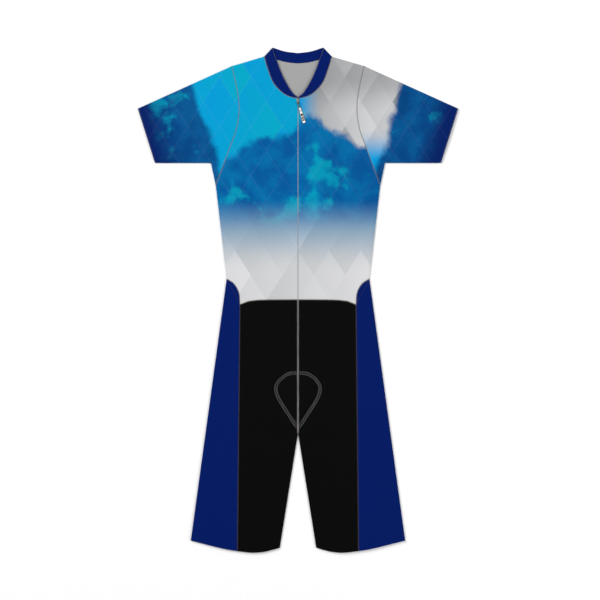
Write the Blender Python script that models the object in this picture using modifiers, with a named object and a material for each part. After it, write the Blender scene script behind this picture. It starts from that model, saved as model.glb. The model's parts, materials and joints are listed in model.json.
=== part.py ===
"""Cycling skinsuit with short sleeves and short legs, laid flat on its back with the zip up.

Frame: X runs from the wearer's right to the wearer's left, +Y towards the collar, +Z up.
The origin is on the surface that the suit lies on, at the centre of the suit's outline.

Sizes are in millimetres and are scaled to metres where a point is placed. A place on the
suit is given by two measures: across, the distance from the centre line, and station, the
distance above the lowest point of the leg hems. One half is described, and both are built.
"""

import math
from collections import namedtuple

import bmesh
import bpy
from mathutils import Vector

MM = 0.001
RIGHT, LEFT = -1, 1
SIDE_NAMES = {RIGHT: "right", LEFT: "left"}

# ---------------------------------------------------------------- driving dimensions
LENGTH = 1060.0          # leg hem to collar tip
WALL = 1.2               # thickness of one cloth layer
SEAM = 0.3               # parting between two sewn edges
FOLD_HEIGHT = 4.2        # height over a folded edge
SEWN_HEIGHT = 2 * WALL + SEAM    # height over an edge where front and back are sewn
LOFT = 1.2               # how much higher the middle of a panel stands than its fold
LOFT_REACH = 60.0        # distance from the edge over which that height is gained
EDGE_ROLL = 5.0          # distance over which a sewn edge comes down on the back layer
FOLD_STEPS = 6           # facets round a folded edge
CORNER_CLEARANCE = 1.8   # by which the fold's slanting top end stays below the side seam

ZIP_PARTING = 2.5        # width between the two front edges
ZIP_COIL_WIDTH = 1.9
ZIP_TAPE_HALF = 8.0
ZIP_TAPE_THICKNESS = 0.9
ZIP_COIL_SINK = 0.1      # how far the coil lies below the fronts

PAD_EDGE = 0.8           # thickness of one lobe of the seat pad at its rim
PAD_CORE = 2.2           # and at its middle
PAD_MARGIN = 2.0         # cloth of the pad outside its outer row of stitching
PAD_ROOM = 0.6           # between the pad and the front over it
PAD_LEDGE = 3.0          # distance that the front stays level beside the pad
PAD_RUNOUT = 0.25        # and its fall from there, per millimetre
PAD_RISE = 45.0          # length over which each end of the pad thickens
COLLAR_FOOT = 3.6        # height of the collar band at the zip

# ---------------------------------------------------------------- corners of the cut
Point = namedtuple("Point", "across station")

COLLAR_TIP = Point(53.1, LENGTH)
NECK_POINT = Point(71.0, 1040.8)
SHOULDER_POINT = Point(139.0, 1020.8)
CUFF_TOP = Point(336.2, 931.7)
CUFF_BOTTOM = Point(300.3, 817.7)
ARMPIT = Point(182.7, 817.7)
UNDERARM_END = Point(172.6, 771.0)
HIP_POINT = Point(149.8, 574.6)
WAIST_CORNER = Point(121.7, 520.6)
WAIST_CENTRE = 530.9
HEM_OUTER = Point(225.0, 25.2)
HEM_SEAM = Point(127.0, 3.4)
HEM_INNER = Point(38.2, 10.2)
CROTCH = Point(SEAM / 2, 250.7)
NECK_DROP = 952.8        # station of the front neckline at the zip

# Edges of the outline where front and back are sewn together, and those that are folded.
SEWN_EDGES = (
    (NECK_POINT, COLLAR_TIP),
    (NECK_POINT, SHOULDER_POINT),
    (CUFF_BOTTOM, ARMPIT),
    (ARMPIT, UNDERARM_END),
    (UNDERARM_END, HIP_POINT),
    (CROTCH, HEM_INNER),
)
FOLDED_EDGES = (
    (SHOULDER_POINT, CUFF_TOP),
    (HIP_POINT, HEM_OUTER),
)

# Curved seams and edges, a row for each point that the curve passes through.
NECKLINE = (
    NECK_POINT,
    Point(63.3, 1014.5),
    Point(51.6, 985.4),
    Point(32.5, 964.6),
    Point(15.5, 955.9),
    Point(ZIP_PARTING / 2, NECK_DROP),
)
COLLAR_EDGE = (
    COLLAR_TIP,
    Point(45.4, 1036.0),
    Point(31.6, 1000.0),
    Point(13.2, 967.6),
    Point(ZIP_PARTING / 2, NECK_DROP + COLLAR_FOOT),
)
BACK_NECKLINE = (
    NECK_POINT,
    Point(46.6, 1034.8),
    Point(23.0, 1029.0),
    Point(0.0, 1026.6),
)
BACK_COLLAR_EDGE = (
    COLLAR_TIP,
    Point(27.0, 1051.8),
    Point(0.0, 1048.3),
)
ARMHOLE = (
    SHOULDER_POINT,
    Point(128.6, 975.2),
    Point(123.6, 934.0),
    Point(128.4, 892.0),
    Point(141.6, 853.4),
    UNDERARM_END,
)
HIP_CURVE = (
    HIP_POINT,
    Point(134.2, 563.9),
    Point(123.9, 545.0),
    WAIST_CORNER,
)
WAIST = (
    Point(0.0, WAIST_CENTRE),
    Point(60.8, 530.5),
    Point(85.2, 529.8),
    Point(103.4, 527.6),
    WAIST_CORNER,
)
HEM = (
    HEM_OUTER,
    Point(176.0, 13.0),
    Point(151.0, 7.2),
    HEM_SEAM,
    Point(96.6, 0.0),
    Point(72.0, 1.6),
    Point(50.4, 6.6),
    HEM_INNER,
)

# Outer row of stitching of the seat pad: half its width at each station.
PadRow = namedtuple("PadRow", "station half_width")
PAD_OUTLINE = (
    PadRow(263.0, 5.0),
    PadRow(313.0, 37.0),
    PadRow(330.0, 46.0),
    PadRow(347.0, 48.6),
    PadRow(361.0, 42.0),
    PadRow(373.0, 29.0),
    PadRow(379.0, 16.0),
)

# ---------------------------------------------------------------- how the panels are divided
FRONT_COLUMNS = (0.0, 0.15, 0.3, 0.5, 0.7, 0.85, 0.966, 0.983, 1.0)
SHORT_COLUMNS = (0.0, 0.02, 0.04, 0.15, 0.3, 0.5, 0.7, 0.85, 1.0)
COLLAR_COLUMNS = (0.0, 0.3, 0.7, 1.0)
SIDE_COLUMNS = (0.3, 0.65, 1.0)
WAIST_KNOTS = (0.0, 0.5, 0.7, 0.85, 1.0)
EDGE_LAPS = (0.0, FOLD_HEIGHT / 2, EDGE_ROLL)    # distances in from an edge
HIP_PARTS, SIDE_PARTS, LOW_ARMHOLE_PARTS = 5, 5, 8
NECK_PARTS = 9
SLEEVE_ROWS = (0.0, 0.12, 0.24, 0.36, 0.48, 0.6, 0.72, 0.8, 0.88, 0.95, 1.0)
SLEEVE_ARMPIT_ROW = 0.72
SHORT_STATIONS = (WAIST_CENTRE, 500, 470, 440, 412, 388, 364, 340, 315, 294, 277, 268, 260, 255)
INSEAM_PARTS = 7
SIDE_PANEL_PARTS = 13
BACK_NECK_PARTS = 8
HEM_PARTS = 6
PAD_COLUMNS = (-1.0, -0.8, -0.45, 0.0, 0.45, 0.8, 1.0)
PAD_PARTS = 11
PAD_BEND_STEPS = 5
CRESCENT_BLUNT = 0.08    # share of an end step by which a hip insert's pointed end is cut off
STRAIGHT_TURN = 0.2      # sine of the turn below which an outline's corner counts as straight

# ---------------------------------------------------------------- zip slider and pull tab
SLIDER_TOP_STATION = 952.4
SLIDER_LENGTH = 11.0
SLIDER_WIDTH = 5.2
SLIDER_PLATE = 1.0
SLIDER_LOWER_PLATE = 0.8
SLIDER_POST_LENGTH = 1.8
BAIL_WIDTH = 1.6
BAIL_HALF_LENGTH = 2.3
BAIL_BAR = 0.8
BAIL_HEIGHT = 2.4
BAIL_SHOULDER = 1.3
PIVOT_HEIGHT = 0.78      # of the tab's cross bar over the slider's upper plate
PIVOT_FROM_END = 2.9     # from the slider's lower end
TAB_TURN = math.radians(17.0)    # how far the tab swings aside of the zip
TAB_LENGTH = 45.5
TAB_BAR = 0.9
TAB_HEAD_HALF = 2.8
TAB_EYE_HALF = 1.8
TAB_EYE_END = 3.4
TAB_NECK_END = 4.4       # where the head begins to widen towards the end
TAB_END_HALF = 3.3
TAB_THICKNESS = 1.4
TAB_END_STEPS = 8
CUTTER_OVERSIZE = 2.0    # size of a cutter against what it passes through
BEVEL_SEGMENTS = 2
SLIDER_BEVEL = 0.25
TAB_BEVEL = 0.2

# ---------------------------------------------------------------- finishes
Finish = namedtuple("Finish", "colour roughness metallic")
FINISHES = {
    "printed_knit": Finish((0.02, 0.36, 0.58), 0.55, 0.0),
    "navy_knit": Finish((0.002, 0.012, 0.12), 0.55, 0.0),
    "black_knit": Finish((0.006, 0.006, 0.007), 0.5, 0.0),
    "pad_foam": Finish((0.05, 0.05, 0.055), 0.8, 0.0),
    "zip_coil": Finish((0.45, 0.46, 0.47), 0.5, 0.0),
    "slider_metal": Finish((0.42, 0.36, 0.31), 0.35, 1.0),
    "tab_rubber": Finish((0.75, 0.75, 0.75), 0.5, 0.0),
}


# ---------------------------------------------------------------- plan geometry
def ease(value):
    """Smooth step from 0 at 0 to 1 at 1."""
    value = min(max(value, 0.0), 1.0)
    return value * value * (3.0 - 2.0 * value)


def mix(start, end, share):
    """Point at a share of the way between two plan points."""
    return Vector(start).lerp(Vector(end), share)


def smooth_route(rows, steps=12):
    """Fine polyline of the smooth curve through a table's points."""
    knots = [Vector(row) for row in rows]
    knots = [2 * knots[0] - knots[1]] + knots + [2 * knots[-1] - knots[-2]]
    route = []
    for before, start, end, after in zip(knots, knots[1:], knots[2:], knots[3:]):
        for step in range(steps):
            t = step / steps
            route.append(0.5 * (2 * start + (end - before) * t
                                + (2 * before - 5 * start + 4 * end - after) * t * t
                                + (3 * start - before - 3 * end + after) * t ** 3))
    route.append(knots[-2])
    return route


def route_length(route):
    """Length of a polyline."""
    return sum((b - a).length for a, b in zip(route, route[1:]))


def along(route, share):
    """Point at a share of a polyline's length."""
    left = share * route_length(route)
    for start, end in zip(route, route[1:]):
        step = (end - start).length
        if left <= step:
            return start.lerp(end, left / step)
        left -= step
    return route[-1].copy()


def station_at(route, across):
    """Station of a curve where it crosses a given distance from the centre line."""
    for start, end in zip(route, route[1:]):
        low, high = sorted((start.x, end.x))
        if low <= across <= high and high > low:
            return start.y + (end.y - start.y) * (across - start.x) / (end.x - start.x)
    return min((route[0], route[-1]), key=lambda point: abs(point.x - across)).y


def edge_distance(across, station, edges):
    """Shortest plan distance from a point to any of the given straight edges."""
    point = Vector((across, station))
    nearest = math.inf
    for first, last in edges:
        start, end = Vector(first), Vector(last)
        run = end - start
        share = min(max((point - start).dot(run) / run.length_squared, 0.0), 1.0)
        nearest = min(nearest, (point - start - run * share).length)
    return nearest


NECKLINE_ROUTE = smooth_route(NECKLINE)
COLLAR_EDGE_ROUTE = smooth_route(COLLAR_EDGE)
BACK_NECKLINE_ROUTE = smooth_route(BACK_NECKLINE)
BACK_COLLAR_ROUTE = smooth_route(BACK_COLLAR_EDGE)
ARMHOLE_ROUTE = smooth_route(ARMHOLE)
HIP_ROUTE = smooth_route(HIP_CURVE)
HEM_ROUTE = smooth_route(HEM)


def lapped_shares(length, parts):
    """Shares of a length: the laps beside its first end, then even steps to its other end."""
    laps = [lap / length for lap in EDGE_LAPS]
    rest = parts - len(laps) + 1
    return laps[:-1] + [laps[-1] + (1.0 - laps[-1]) * step / rest for step in range(rest + 1)]


def neckline_points():
    """Points of the front neckline seam, from the shoulder to the zip."""
    shares = lapped_shares(route_length(NECKLINE_ROUTE), NECK_PARTS)
    return [along(NECKLINE_ROUTE, share) for share in shares]


def armhole_shares():
    """Shares of the armhole's length, from the shoulder to the underarm."""
    return lapped_shares(route_length(ARMHOLE_ROUTE), NECK_PARTS + LOW_ARMHOLE_PARTS)


def armhole_points():
    """Points of the armhole seam, from the shoulder to the underarm."""
    return [along(ARMHOLE_ROUTE, share) for share in armhole_shares()]


def hip_points():
    """Points of the curved hip seam, from the side edge to the waist seam."""
    return [along(HIP_ROUTE, part / HIP_PARTS) for part in range(HIP_PARTS + 1)]


def waist_point(share):
    """Point of the waist seam, straight between its shared knots."""
    for low, high, first, last in zip(WAIST_KNOTS, WAIST_KNOTS[1:], WAIST, WAIST[1:]):
        if share <= high:
            return mix(first, last, (share - low) / (high - low))
    return Vector(WAIST[-1])


# ---------------------------------------------------------------- heights
def pad_half_width(station):
    """Half the pad's width at a station, its margin included."""
    rows = PAD_OUTLINE
    station = min(max(station, rows[0].station), rows[-1].station)
    for low, high in zip(rows, rows[1:]):
        if station <= high.station:
            share = (station - low.station) / (high.station - low.station)
            return PAD_MARGIN + low.half_width + (high.half_width - low.half_width) * share
    return PAD_MARGIN + rows[-1].half_width


def pad_thickness(across, station):
    """Thickness of one lobe of the pad: thin at its rim and crowned in the middle."""
    first, last = PAD_OUTLINE[0].station, PAD_OUTLINE[-1].station
    ends = ease((station - first) / PAD_RISE) * ease((last - station) / PAD_RISE)
    side = min(abs(across) / pad_half_width(station), 1.0)
    return PAD_EDGE + (PAD_CORE - PAD_EDGE) * ends * (1.0 - side * side)


def pad_lift(across, station):
    """Height that the cloth over the pad needs, running out beside it."""
    first, last = PAD_OUTLINE[0].station, PAD_OUTLINE[-1].station
    outside = max(abs(across) - pad_half_width(station), first - station, station - last)
    stack = WALL + SEAM + 2 * pad_thickness(across, station) + SEAM + PAD_ROOM + WALL
    return stack - PAD_RUNOUT * max(outside - PAD_LEDGE, 0.0)


def height(across, station):
    """Height of the outer face of the upper layer."""
    across = abs(across)
    sewn = edge_distance(across, station, SEWN_EDGES)
    nearest = min(sewn, edge_distance(across, station, FOLDED_EDGES))
    lying = FOLD_HEIGHT + LOFT * ease(nearest / LOFT_REACH)
    lying -= (FOLD_HEIGHT - SEWN_HEIGHT) * (1.0 - ease(sewn / EDGE_ROLL))
    return max(lying, pad_lift(across, station))


# ---------------------------------------------------------------- panels
def inset_loop(points, gaps):
    """Move each edge of a closed plan outline inwards by its own gap."""
    count = len(points)
    area = sum(points[i].x * points[(i + 1) % count].y - points[(i + 1) % count].x * points[i].y
               for i in range(count))
    turn = 1.0 if area > 0 else -1.0
    moved = []
    for index, point in enumerate(points):
        before = (point - points[index - 1]).normalized()
        after = (points[(index + 1) % count] - point).normalized()
        first = Vector((-before.y, before.x)) * turn
        last = Vector((-after.y, after.x)) * turn
        gap_before, gap_after = gaps[index - 1], gaps[index]
        cross = first.x * last.y - first.y * last.x
        if abs(cross) > STRAIGHT_TURN:
            shift = Vector((gap_before * last.y - gap_after * first.y,
                            gap_after * first.x - gap_before * last.x)) / cross
        else:
            shift = (first + last).normalized() * max(gap_before, gap_after)
        moved.append(point + shift)
    return moved


def part_seams(grid, first=0.0, last=0.0, inner=0.0, outer=0.0):
    """Draw the sewn sides of a grid of plan points in by half the seam's parting.

    A side's gap is one number, or one for each of its steps.
    """
    rows, columns = len(grid) - 1, len(grid[0]) - 1

    def steps(gap, count):
        return list(gap) if isinstance(gap, (list, tuple)) else [gap] * count

    loop = [(0, j) for j in range(columns)] + [(i, columns) for i in range(rows)]
    loop += [(rows, j) for j in range(columns, 0, -1)] + [(i, 0) for i in range(rows, 0, -1)]
    gaps = steps(first, columns) + steps(outer, rows)
    gaps += steps(last, columns)[::-1] + steps(inner, rows)[::-1]
    for (i, j), point in zip(loop, inset_loop([grid[i][j] for i, j in loop], gaps)):
        grid[i][j] = point
    return grid


def loft(inner, outer, columns, first_row=None, last_row=None):
    """Plan grid between two edges, row by row, which takes on the shape of its end rows.

    columns holds each row's shares of the way from the inner edge to the outer one.
    """
    rows = len(inner) - 1
    grid = []
    for i, shares in enumerate(columns):
        row = []
        for j, share in enumerate(shares):
            point = mix(inner[i], outer[i], share)
            if first_row:
                bulge = first_row[j] - mix(inner[0], outer[0], columns[0][j])
                point += bulge * (1.0 - i / rows)
            if last_row:
                bulge = last_row[j] - mix(inner[-1], outer[-1], columns[-1][j])
                point += bulge * (i / rows)
            row.append(point)
        grid.append(row)
    return grid


def place(across, station, up, side=LEFT):
    """Point in metres from its measures on the suit."""
    return Vector((side * across * MM, (station - LENGTH / 2) * MM, up * MM))


def upper_layer(grid, side):
    """Points of a panel in the upper layer."""
    return [[place(p.x, p.y, height(p.x, p.y), side) for p in row] for row in grid]


def wrapped_layer(grid, side):
    """Points of a panel that turns round a folded edge, which is its first column.

    Each row runs from the sewn edge of the upper layer out to the fold, round it, and back
    along the lower layer, which lies flat.
    """
    rows = []
    for row in grid:
        edge, start = row[0], row[1]
        top = height(start.x, start.y)
        radius = top / 2
        run = (start - edge) / EDGE_LAPS[1]
        upper = [place(p.x, p.y, height(p.x, p.y), side) for p in reversed(row[1:])]
        lower = [place(p.x, p.y, 0.0, side) for p in row[1:]]
        turn = []
        for step in range(1, FOLD_STEPS):
            angle = math.pi * step / FOLD_STEPS
            point = edge + run * radius * (1.0 - math.sin(angle))
            turn.append(place(point.x, point.y, radius * (1.0 + math.cos(angle)), side))
        rows.append(upper + turn + lower)
    return rows


def mesh_object(name, bm, finish, collection):
    """Turn a bmesh into a named object with its finish."""
    mesh = bpy.data.meshes.new(name)
    bm.to_mesh(mesh)
    bm.free()
    mesh.materials.append(finish)
    item = bpy.data.objects.new(name, mesh)
    collection.objects.link(item)
    return item


def thicken(item):
    """Give a cloth surface its wall, inside the outer face that was drawn."""
    wall = item.modifiers.new("wall", "SOLIDIFY")
    wall.thickness = WALL * MM
    wall.offset = -1.0
    wall.use_even_offset = True
    wall.use_rim = True


def cloth_panel(name, rows, finish, collection):
    """Cloth panel through rows of points, facing up where it begins."""
    bm = bmesh.new()
    grid = [[bm.verts.new(point) for point in row] for row in rows]
    for low, high in zip(grid, grid[1:]):
        for j in range(len(low) - 1):
            bm.faces.new((low[j], low[j + 1], high[j + 1], high[j]))
    bm.normal_update()
    bm.faces.ensure_lookup_table()
    if bm.faces[0].normal.z < 0:
        bmesh.ops.reverse_faces(bm, faces=bm.faces)
    item = mesh_object(name, bm, finish, collection)
    for face in item.data.polygons:
        face.use_smooth = True
    thicken(item)
    return item


def flat_panel(name, outline, finish, collection):
    """Cloth panel that lies flat on the surface, from its plan outline."""
    bm = bmesh.new()
    face = bm.faces.new([bm.verts.new(place(p.x, p.y, 0.0)) for p in outline])
    bm.normal_update()
    if face.normal.z > 0:
        bmesh.ops.reverse_faces(bm, faces=[face])
    item = mesh_object(name, bm, finish, collection)
    thicken(item)
    return item


# ---------------------------------------------------------------- the cut pieces
def zip_stations():
    """Stations of the rows where the front meets the zip, from the waist to the neck."""
    outer = front_outer_points()
    rows = HIP_PARTS + SIDE_PARTS + LOW_ARMHOLE_PARTS
    low, high = outer[0].y, outer[rows].y
    scale = (NECK_DROP - WAIST_CENTRE) / (high - low)
    return [WAIST_CENTRE + (point.y - low) * scale for point in outer[:rows + 1]]


def front_outer_points():
    """Outer edge of a front: hip seam, side seam and armhole, from the waist up."""
    hip = hip_points()[::-1]
    side = [mix(HIP_POINT, UNDERARM_END, part / SIDE_PARTS) for part in range(1, SIDE_PARTS)]
    return hip + side + armhole_points()[::-1]


def make_front(side, finish, collection):
    """Front of the torso, from the zip to the side seam and armhole."""
    outer = front_outer_points()
    inner = [Vector((ZIP_PARTING / 2, station)) for station in zip_stations()]
    inner += neckline_points()[::-1][1:]
    columns = [FRONT_COLUMNS] * len(outer)
    waist = [waist_point(share) for share in FRONT_COLUMNS]
    waist[0].x = ZIP_PARTING / 2
    grid = loft(inner, outer, columns, first_row=waist)
    gap = SEAM / 2
    armhole = len(outer) - 1 - HIP_PARTS - SIDE_PARTS
    inner_gaps = [0.0] * (len(inner) - 1 - NECK_PARTS) + [gap] * NECK_PARTS
    outer_gaps = [gap] * HIP_PARTS + [0.0] * SIDE_PARTS + [gap] * armhole
    part_seams(grid, first=gap, inner=inner_gaps, outer=outer_gaps)
    rows = upper_layer(grid, side)
    return cloth_panel("front_" + SIDE_NAMES[side], rows, finish, collection)


def make_sleeve(side, finish, collection):
    """Sleeve, folded along its top and sewn under the arm."""
    armhole = armhole_points()
    shares = armhole_shares()
    top = [mix(CUFF_TOP, SHOULDER_POINT, row) for row in SLEEVE_ROWS]
    bottom = []
    for row in SLEEVE_ROWS:
        if row <= SLEEVE_ARMPIT_ROW:
            bottom.append(mix(CUFF_BOTTOM, ARMPIT, row / SLEEVE_ARMPIT_ROW))
        else:
            share = (row - SLEEVE_ARMPIT_ROW) / (1.0 - SLEEVE_ARMPIT_ROW)
            bottom.append(mix(ARMPIT, UNDERARM_END, share))
    columns = []
    for start, end in zip(top[:-1], bottom[:-1]):
        laps = [lap / (end - start).length for lap in EDGE_LAPS]
        columns.append(laps + shares[len(EDGE_LAPS):])
    columns.append(shares)
    grid = loft(top, bottom, columns, last_row=armhole)
    part_seams(grid, last=SEAM / 2)
    rows = wrapped_layer(grid, side)
    return cloth_panel("sleeve_" + SIDE_NAMES[side], rows, finish, collection)


def make_front_collar(side, finish, collection):
    """Front half of the collar band, from the shoulder to the zip."""
    seam = neckline_points()
    shares = lapped_shares(route_length(COLLAR_EDGE_ROUTE), NECK_PARTS)
    edge = [along(COLLAR_EDGE_ROUTE, share) for share in shares]
    grid = loft(edge, seam, [COLLAR_COLUMNS] * len(seam))
    part_seams(grid, outer=SEAM / 2)
    rows = upper_layer(grid, side)
    return cloth_panel("collar_front_" + SIDE_NAMES[side], rows, finish, collection)


def both_halves(points):
    """A chain that ends on the centre line, carried on over the other half."""
    far = [Vector((-point.x, point.y)) for point in reversed(points[:-1])]
    return points + far


def back_neck_points():
    """Seam of the back collar, from one neck point to the other."""
    half = [along(BACK_NECKLINE_ROUTE, part / BACK_NECK_PARTS)
            for part in range(BACK_NECK_PARTS + 1)]
    return both_halves(half)


def make_back_collar(finish, collection):
    """Back of the collar band, its inside up, flat on the surface."""
    top = both_halves([along(BACK_COLLAR_ROUTE, part / BACK_NECK_PARTS)
                       for part in range(BACK_NECK_PARTS + 1)])
    seam = back_neck_points()
    outline = top + seam[::-1]
    gaps = [0.0] * len(top) + [SEAM / 2] * (len(seam) - 1) + [0.0]
    return flat_panel("collar_back", inset_loop(outline, gaps), finish, collection)


def make_back(finish, collection):
    """Back of the torso in one piece, flat on the surface."""
    gap = SEAM / 2
    right = back_neck_points()
    armhole = armhole_points()
    waist = [Vector(point) for point in WAIST[1:]]
    half = armhole + [Vector(HIP_POINT)] + waist[::-1]
    half_gaps = [gap] * (len(armhole) - 1) + [0.0] + [gap] * (len(waist) + 1)
    mirrored = [Vector((-point.x, point.y)) for point in reversed(half)]
    outline = right[::-1] + half + [Vector(WAIST[0])] + mirrored
    gaps = [gap] * (len(right) - 1) + [0.0] + half_gaps
    gaps += half_gaps[::-1] + [0.0]
    return flat_panel("back_panel", inset_loop(outline, gaps), finish, collection)


def make_hip_insert(side, finish, collection):
    """Crescent between the curved hip seam and the straight top of the side panel."""
    curve = hip_points()
    inner, outer = [], []
    for index, point in enumerate(curve):
        share = index / HIP_PARTS
        inner.append(point)
        outer.append(mix(HIP_POINT, WAIST_CORNER, share))
    for end, beside in ((0, 1), (-1, -2)):
        inner[end] = mix(inner[end], inner[beside], CRESCENT_BLUNT * 2)
        outer[end] = mix(outer[end], outer[beside], CRESCENT_BLUNT)
    grid = loft(inner, outer, [(0.0, 0.5, 1.0)] * len(inner))
    part_seams(grid, inner=SEAM / 2, outer=SEAM / 2)
    rows = upper_layer(grid, side)
    return cloth_panel("hip_insert_" + SIDE_NAMES[side], rows, finish, collection)


def make_side_panel(side, finish, collection):
    """Side of the leg, folded along the outer edge, from the front seam to the back one."""
    parts = SIDE_PANEL_PARTS
    fold = [mix(HIP_POINT, HEM_OUTER, part / parts) for part in range(parts + 1)]
    seam = [mix(WAIST_CORNER, HEM_SEAM, part / parts) for part in range(parts + 1)]
    run = (Vector(HEM_OUTER) - Vector(HIP_POINT)).normalized()
    columns = []
    for start, end in zip(fold, seam):
        across = end - start
        reach = abs(across.x * run.y - across.y * run.x)
        columns.append([lap / reach for lap in EDGE_LAPS] + list(SIDE_COLUMNS))
    hem = []
    for share in columns[-1]:
        point = mix(HEM_OUTER, HEM_SEAM, share)
        hem.append(Vector((point.x, station_at(HEM_ROUTE, point.x))))
    grid = loft(fold, seam, columns, last_row=hem)
    part_seams(grid, first=SEAM / 2, outer=SEAM / 2)
    for lap, point in zip(EDGE_LAPS, grid[0]):
        point += run * CORNER_CLEARANCE * (1.0 - lap / EDGE_ROLL)
    rows = wrapped_layer(grid, side)
    return cloth_panel("side_panel_" + SIDE_NAMES[side], rows, finish, collection)


def short_inner_points():
    """Centre seam and inseam of a leg, from the waist to the hem."""
    centre = [Vector((0.0, station)) for station in SHORT_STATIONS + (CROTCH.station,)]
    inseam = [mix(CROTCH, HEM_INNER, part / INSEAM_PARTS) for part in range(1, INSEAM_PARTS + 1)]
    return centre + inseam


def make_short_front(side, finish, collection):
    """Front of the leg, from the centre seam and inseam to the side panel."""
    inner = short_inner_points()
    first, last = inner[0].y, inner[-1].y
    outer = [mix(WAIST_CORNER, HEM_SEAM, (first - point.y) / (first - last)) for point in inner]
    waist = [waist_point(share) for share in SHORT_COLUMNS]
    hem = []
    for share in SHORT_COLUMNS:
        point = mix(HEM_INNER, HEM_SEAM, share)
        hem.append(Vector((point.x, station_at(HEM_ROUTE, point.x))))
    grid = loft(inner, outer, [SHORT_COLUMNS] * len(inner), first_row=waist, last_row=hem)
    gap = SEAM / 2
    inner_gaps = [gap] * len(SHORT_STATIONS) + [0.0] * INSEAM_PARTS
    part_seams(grid, first=gap, inner=inner_gaps, outer=gap)
    rows = upper_layer(grid, side)
    return cloth_panel("short_front_" + SIDE_NAMES[side], rows, finish, collection)


def make_short_back(side, finish, collection):
    """Back of the leg, flat on the surface."""
    gap = SEAM / 2
    waist = [Vector(point) for point in WAIST]
    hem = []
    for part in range(HEM_PARTS + 1):
        point = mix(HEM_SEAM, HEM_INNER, part / HEM_PARTS)
        hem.append(Vector((point.x, station_at(HEM_ROUTE, point.x))))
    outline = waist + hem + [Vector((0.0, CROTCH.station))]
    gaps = [gap] * len(waist) + [0.0] * len(hem) + [gap]
    outline = [Vector((side * p.x, p.y)) for p in inset_loop(outline, gaps)]
    return flat_panel("short_back_" + SIDE_NAMES[side], outline, finish, collection)


def ring_solid(name, rings, finish, collection):
    """Closed solid through rings of points, with a face over each end."""
    bm = bmesh.new()
    loops = [[bm.verts.new(point) for point in ring] for ring in rings]
    count = len(loops[0])
    for low, high in zip(loops, loops[1:]):
        for j in range(count):
            bm.faces.new((low[j], low[(j + 1) % count], high[(j + 1) % count], high[j]))
    bm.faces.new(loops[0][::-1])
    bm.faces.new(loops[-1])
    bmesh.ops.recalc_face_normals(bm, faces=bm.faces)
    return mesh_object(name, bm, finish, collection)


def make_pad(finish, collection):
    """Seat pad: two equal lobes, one on the front and one on the back, folded at the crotch."""
    floor = WALL + SEAM
    first, last = PAD_OUTLINE[0].station, PAD_OUTLINE[-1].station
    stations = [last + (first - last) * part / PAD_PARTS for part in range(PAD_PARTS + 1)]

    def ring(outer, inner):
        return [place(*point) for point in outer + inner[::-1]]

    def lobe(station, upper):
        half = pad_half_width(station)
        outer, inner = [], []
        for share in PAD_COLUMNS:
            x = share * half
            thick = pad_thickness(x, station)
            middle = floor + thick
            outer.append((x, station, middle + SEAM + thick if upper else floor))
            inner.append((x, station, middle + SEAM if upper else middle))
        return ring(outer, inner)

    rings = [lobe(station, True) for station in stations]
    half, centre = pad_half_width(first), floor + PAD_EDGE + SEAM / 2
    for step in range(1, PAD_BEND_STEPS):
        angle = math.pi * step / PAD_BEND_STEPS
        outer, inner = [], []
        for share in PAD_COLUMNS:
            for radius, chain in ((SEAM / 2 + PAD_EDGE, outer), (SEAM / 2, inner)):
                chain.append((share * half, first - radius * math.sin(angle),
                              centre + radius * math.cos(angle)))
        rings.append(ring(outer, inner))
    rings += [lobe(station, False) for station in reversed(stations)]
    return ring_solid("seat_pad", rings, finish, collection)


def make_zip(finish, collection):
    """Closed zip: a tape under the fronts with its coil standing up between them."""
    top = SLIDER_TOP_STATION - SLIDER_POST_LENGTH - SEAM
    stations = [WAIST_CENTRE + SEAM] + zip_stations()[1:-1] + [top]
    tape_top = -WALL - SEAM
    tape_low = tape_top - ZIP_TAPE_THICKNESS
    coil = ZIP_COIL_WIDTH / 2
    profile = (
        (-ZIP_TAPE_HALF, tape_low),
        (ZIP_TAPE_HALF, tape_low),
        (ZIP_TAPE_HALF, tape_top),
        (coil, tape_top),
        (coil, -ZIP_COIL_SINK),
        (-coil, -ZIP_COIL_SINK),
        (-coil, tape_top),
        (-ZIP_TAPE_HALF, tape_top),
    )
    rings = []
    for station in stations:
        level = height(ZIP_PARTING / 2, station)
        rings.append([place(x, station, level + up) for x, up in profile])
    return ring_solid("zip", rings, finish, collection)


# ---------------------------------------------------------------- slider and pull tab
def box(name, width, length, low, high, centre_station, collection, finish):
    """Box on the centre line, by its width, length, low and high faces."""
    bm = bmesh.new()
    bmesh.ops.create_cube(bm, size=1.0)
    for vertex in bm.verts:
        level = high if vertex.co.z > 0 else low
        vertex.co = place(vertex.co.x * width, centre_station + vertex.co.y * length, level)
    return mesh_object(name, bm, finish, collection)


def extruded(name, outline, thickness, finish, collection):
    """Closed solid of a flat outline given in X and Y, through its thickness in Z."""
    bm = bmesh.new()
    face = bm.faces.new([bm.verts.new((x * MM, y * MM, -thickness * MM / 2)) for x, y in outline])
    made = bmesh.ops.extrude_face_region(bm, geom=[face])
    top = [item for item in made["geom"] if isinstance(item, bmesh.types.BMVert)]
    bmesh.ops.translate(bm, verts=top, vec=(0.0, 0.0, thickness * MM))
    bmesh.ops.recalc_face_normals(bm, faces=bm.faces)
    return mesh_object(name, bm, finish, collection)


def slider_levels():
    """Heights of the slider's upper and lower plates, over the surface."""
    cloth = height(ZIP_PARTING / 2, SLIDER_TOP_STATION - SLIDER_LENGTH / 2)
    upper = cloth + SEAM
    tape_low = cloth - WALL - SEAM - ZIP_TAPE_THICKNESS
    return tape_low - SEAM, upper


def pivot_station():
    """Station of the pull tab's cross bar."""
    return SLIDER_TOP_STATION - SLIDER_LENGTH + PIVOT_FROM_END


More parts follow.
